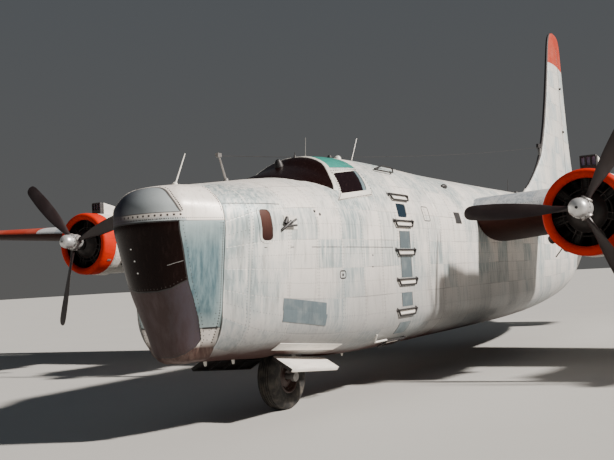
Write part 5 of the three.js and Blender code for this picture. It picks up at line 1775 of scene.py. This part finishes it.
def build_fittings(m):
    dark, pale, white = [], [], []

    def mast(group, foot, tip, low, high, base=0.035):
        a, b = (Vector((0, along(s), z)) for s, z in (foot, tip))
        group.append(tube([a, a.lerp(b, 0.5), b], [low, (low + high) / 2, high], 10))
        group.append(turned([(0, -0.02), (base, -0.02), (base * 0.9, 0.02), (base * 0.4, 0.035),
                             (0, 0.035)], a, UP, 20))

    mast(white, (0.74, 3.02), (0.96, 3.42), 0.011, 0.006)
    mast(pale, MAST_FOOT, MAST_TOP, 0.016, 0.012)
    pale.append(box_mesh((-0.022, MAST_TOP[0] - 0.05, MAST_TOP[1] - 0.015),
                         (0.022, MAST_TOP[0] + 0.03, MAST_TOP[1] + 0.035)))
    mast(dark, (3.60, 3.625), (3.61, 3.70), 0.008, 0.006, 0.02)
    mast(pale, (3.91, 3.65), (3.95, 3.96), 0.008, 0.005, 0.025)
    mast(pale, (5.45, 3.72), (5.71, 4.15), 0.008, 0.005, 0.03)
    mast(dark, (14.26, 3.70), (14.31, 4.06), 0.008, 0.005, 0.03)
    dark.append(turned([(0, 0.09), (0.04, 0.08), (0.06, 0.04), (0.07, -0.03), (0, -0.03)],
                       (0, along(14.97), 3.70), UP, 20))
    # Lamps on the roof: a small black one and a white dome
    dark.append(turned([(0, 0.05), (0.02, 0.046), (0.032, 0.03), (0.036, 0.01), (0.045, 0.0),
                        (0.045, -0.05), (0, -0.05)], (0.1, along(4.51), 3.685), UP, 28))
    white.append(turned([(0, 0.06), (0.03, 0.055), (0.05, 0.035), (0.058, 0.0), (0.058, -0.05),
                         (0, -0.05)], (0.1, along(4.777), 3.69), UP, 28))
    # Handle on the roof beside the top step
    loop = [Vector((x, along(s), z + 0.03)) for x, s, z in ((0.701, 4.829, 3.439), (0.564, 5.459, 3.563),
                                                            (0.588, 5.798, 3.544), (0.732, 5.496, 3.428))]
    dark.append(tube([p for a, b in zip(loop, loop[1:] + loop[:1])
                      for p in (a.lerp(b, 0.12), a.lerp(b, 0.88))]
                     + [loop[0].lerp(loop[1], 0.12)], 0.013, 10))
    # Blade aerials under the belly
    for station, foot in ((1.148, 0.90), (1.742, 0.86), (4.712, 0.65)):
        outline = [(-0.035, 0.03), (0.045, 0.03), (0.035, -0.095), (0.005, -0.10)]
        white.append(skin([[(x, along(station + a), foot + b) for a, b in outline]
                           for x in (0.008, -0.008)]))
    # Wire from the mast to the bracket in front of the fin
    start, end = (Vector((0, along(s), z)) for s, z in (MAST_TOP, (17.52, 5.23)))
    dark.append(tube([start.lerp(end, k / 12) - Vector((0, 0, 0.11 * (1 - (k / 6 - 1) ** 2)))
                      for k in range(13)], 0.004, 6))
    for group, outline in ((dark, [(17.45, 5.20), (17.90, 5.22), (17.96, 5.37), (17.46, 5.33)]),
                           (pale, [(17.57, 4.99), (17.76, 4.99), (17.86, 5.22), (17.60, 5.21)])):
        ring = rounded(outline, 0.02, 3)
        group.append(skin([[(x, along(s), z) for s, z in ring] for x in (0.032, 0.026, -0.026, -0.032)]))
    # Air data probe under the port wing, outboard, then the rudder's hinge bosses
    probe = (6.0, along(9.1), 2.66)
    dark.append(tube([probe, (6.0, along(9.1), 2.50), (6.0, along(8.8), 2.47)], 0.014, 10))
    for s, z in ((20.249, 7.377), (20.264, 5.991)):
        dark.append(drum((0, along(s), z), LEFT, 0.035, -0.14, 0.14, 12))
    # Hatch, small pane, seams and bracket on the port side of the hull
    dark.append(outline_on_hull((5.786, 2.648), (6.048, 2.885), 0.014))
    dark.append(outline_on_hull((2.745, 1.785), (2.90, 1.885), 0.018))
    for s, z, size in ((2.82, 1.833, 0.02), (2.205, 2.668, 0.02), (2.316, 2.631, 0.02),
                       (3.73, 2.09, 0.012), (3.71, 1.925, 0.012)):
        dark.append(turned([(0, -0.003), (size, -0.003), (size, 0.004), (size * 0.7, 0.008), (0, 0.008)],
                           hull_point(s, z), hull_normal(s, z), 20))
    for group, (s0, z0), (s1, z1), proud in (
            (dark, (7.27, 2.641), (7.55, 2.852), 0.006), (white, (1.50, 2.42), (1.755, 2.595), 0.005),
            (dark, (0.72, 2.73), (1.51, 2.74), 0.001), (dark, (0.72, 2.2), (4.45, 2.21), 0.001)):
        middle = (z0 + z1) / 2
        group.append(hull_strip(between((s0, middle), (s1, middle), 8), z1 - z0, proud))
    post = [hull_point(s, z, 1, proud)
            for s, z, proud in ((1.447, 2.41, 0.005), (1.50, 2.46, 0.035), (1.59, 2.52, 0.04))]
    dark.append(tube(post, 0.02, 8))
    dark.append(tube([hull_point(s, z, 1, 0.02) for s, z in ((1.50, 2.49), (1.53, 2.535), (1.55, 2.575))],
                     [0.026, 0.030, 0.016], 10))
    for s, z in ((1.68, 2.545), (1.676, 2.47)):
        dark.append(tube([post[1], hull_point(s, z, 1, 0.05)], 0.014, 8))
    swell = [hull_point(7.60 + 0.24 * k / 10, 3.37, 1, 0.015) for k in range(11)]
    dark.append(tube(swell, [0.008 + 0.045 * math.sin(math.pi * k / 10) ** 0.6 for k in range(11)], 14))
    dark.append(turned([(0, 0.10), (0.03, 0.09), (0.055, 0.05), (0.07, -0.03), (0, -0.03)],
                       (-0.05, along(3.22), 3.47), (0, -0.3, 1), 20))
    piece_from(joined(dark), "aerials_and_lamps", "airframe", "gear_steel", m["black"])
    piece_from(joined(pale), "pale_aerials", "airframe", "gear_steel", m["steel"])
    piece_from(joined(white), "white_aerials", "airframe", "white_paint", m["white"])
    # Pale strips over the nose gear doors as painted reflected light, and the rivets of the side windows'
    # frames
    plates = [hull_strip(between(*DOOR_LIGHT_STRIP, 12), 0.17, 0.004, side) for side in (-1, 1)]
    piece_from(joined(plates), "door_painted_light_strips", "airframe", "white_paint", m["door"])
    places = [(s, z, side) for s, z in spaced(grown(SIDE_FRAME, -0.02), 0.042) for side in (-1, 1)]
    piece_from(rivet_heads([canopy_point(*place, 0.008) for place in places],
                           [(side, 0, 0.5) for _, _, side in places], 0.011), "side_frame_rivets",
               "airframe", "gear_steel", m["dark_rivet"])
    seam = []
    for station in (NOSE_SEAM, FRONT_SEAM, REAR_SEAM):
        ring = hull_ring(station + 0.01)
        middle = Vector((0, along(station), 2.1))
        seam.append(ribbon(ring + ring[:1], [p - middle for p in ring + ring[:1]], 0.03, 0.004))
    piece_from(joined(seam), "seam_straps", "airframe", "bare_aluminium", m["hull"])


def canopy_point(station, height, side=1, proud=0.0):
    c = CANOPY.at(min(max(station, CANOPY_ENDS[0]), CANOPY_ENDS[1]))
    t = max((height - c["spring"]) / (c["crown"] - c["spring"]), 0)
    half = c["half"] * max(1 - t ** c["power"], 0) ** (1 / c["power"])
    return Vector((side * (max(half, hull_half(station, height)) + proud), along(station), height))


make_camera()
make_light()
looks = make_materials()
for build in (build_nose, build_cockpit, build_tank, build_rear, build_wings, build_tail, build_engines,
              build_main_gear, build_nose_gear, build_nose_doors, build_steps, build_fittings):
    build(looks)
bpy.ops.mesh.primitive_plane_add(size=FLOOR_SIZE, location=(0, 0, 0))
floor = bpy.context.object
floor.name = "floor"
ground = Shader("pale_floor", roughness=0.9)
floor.data.materials.append(ground.finish(ground.mix(ground.noise(0.4, 3.0), (0.45, 0.44, 0.42),
                                                     (0.49, 0.48, 0.46))))
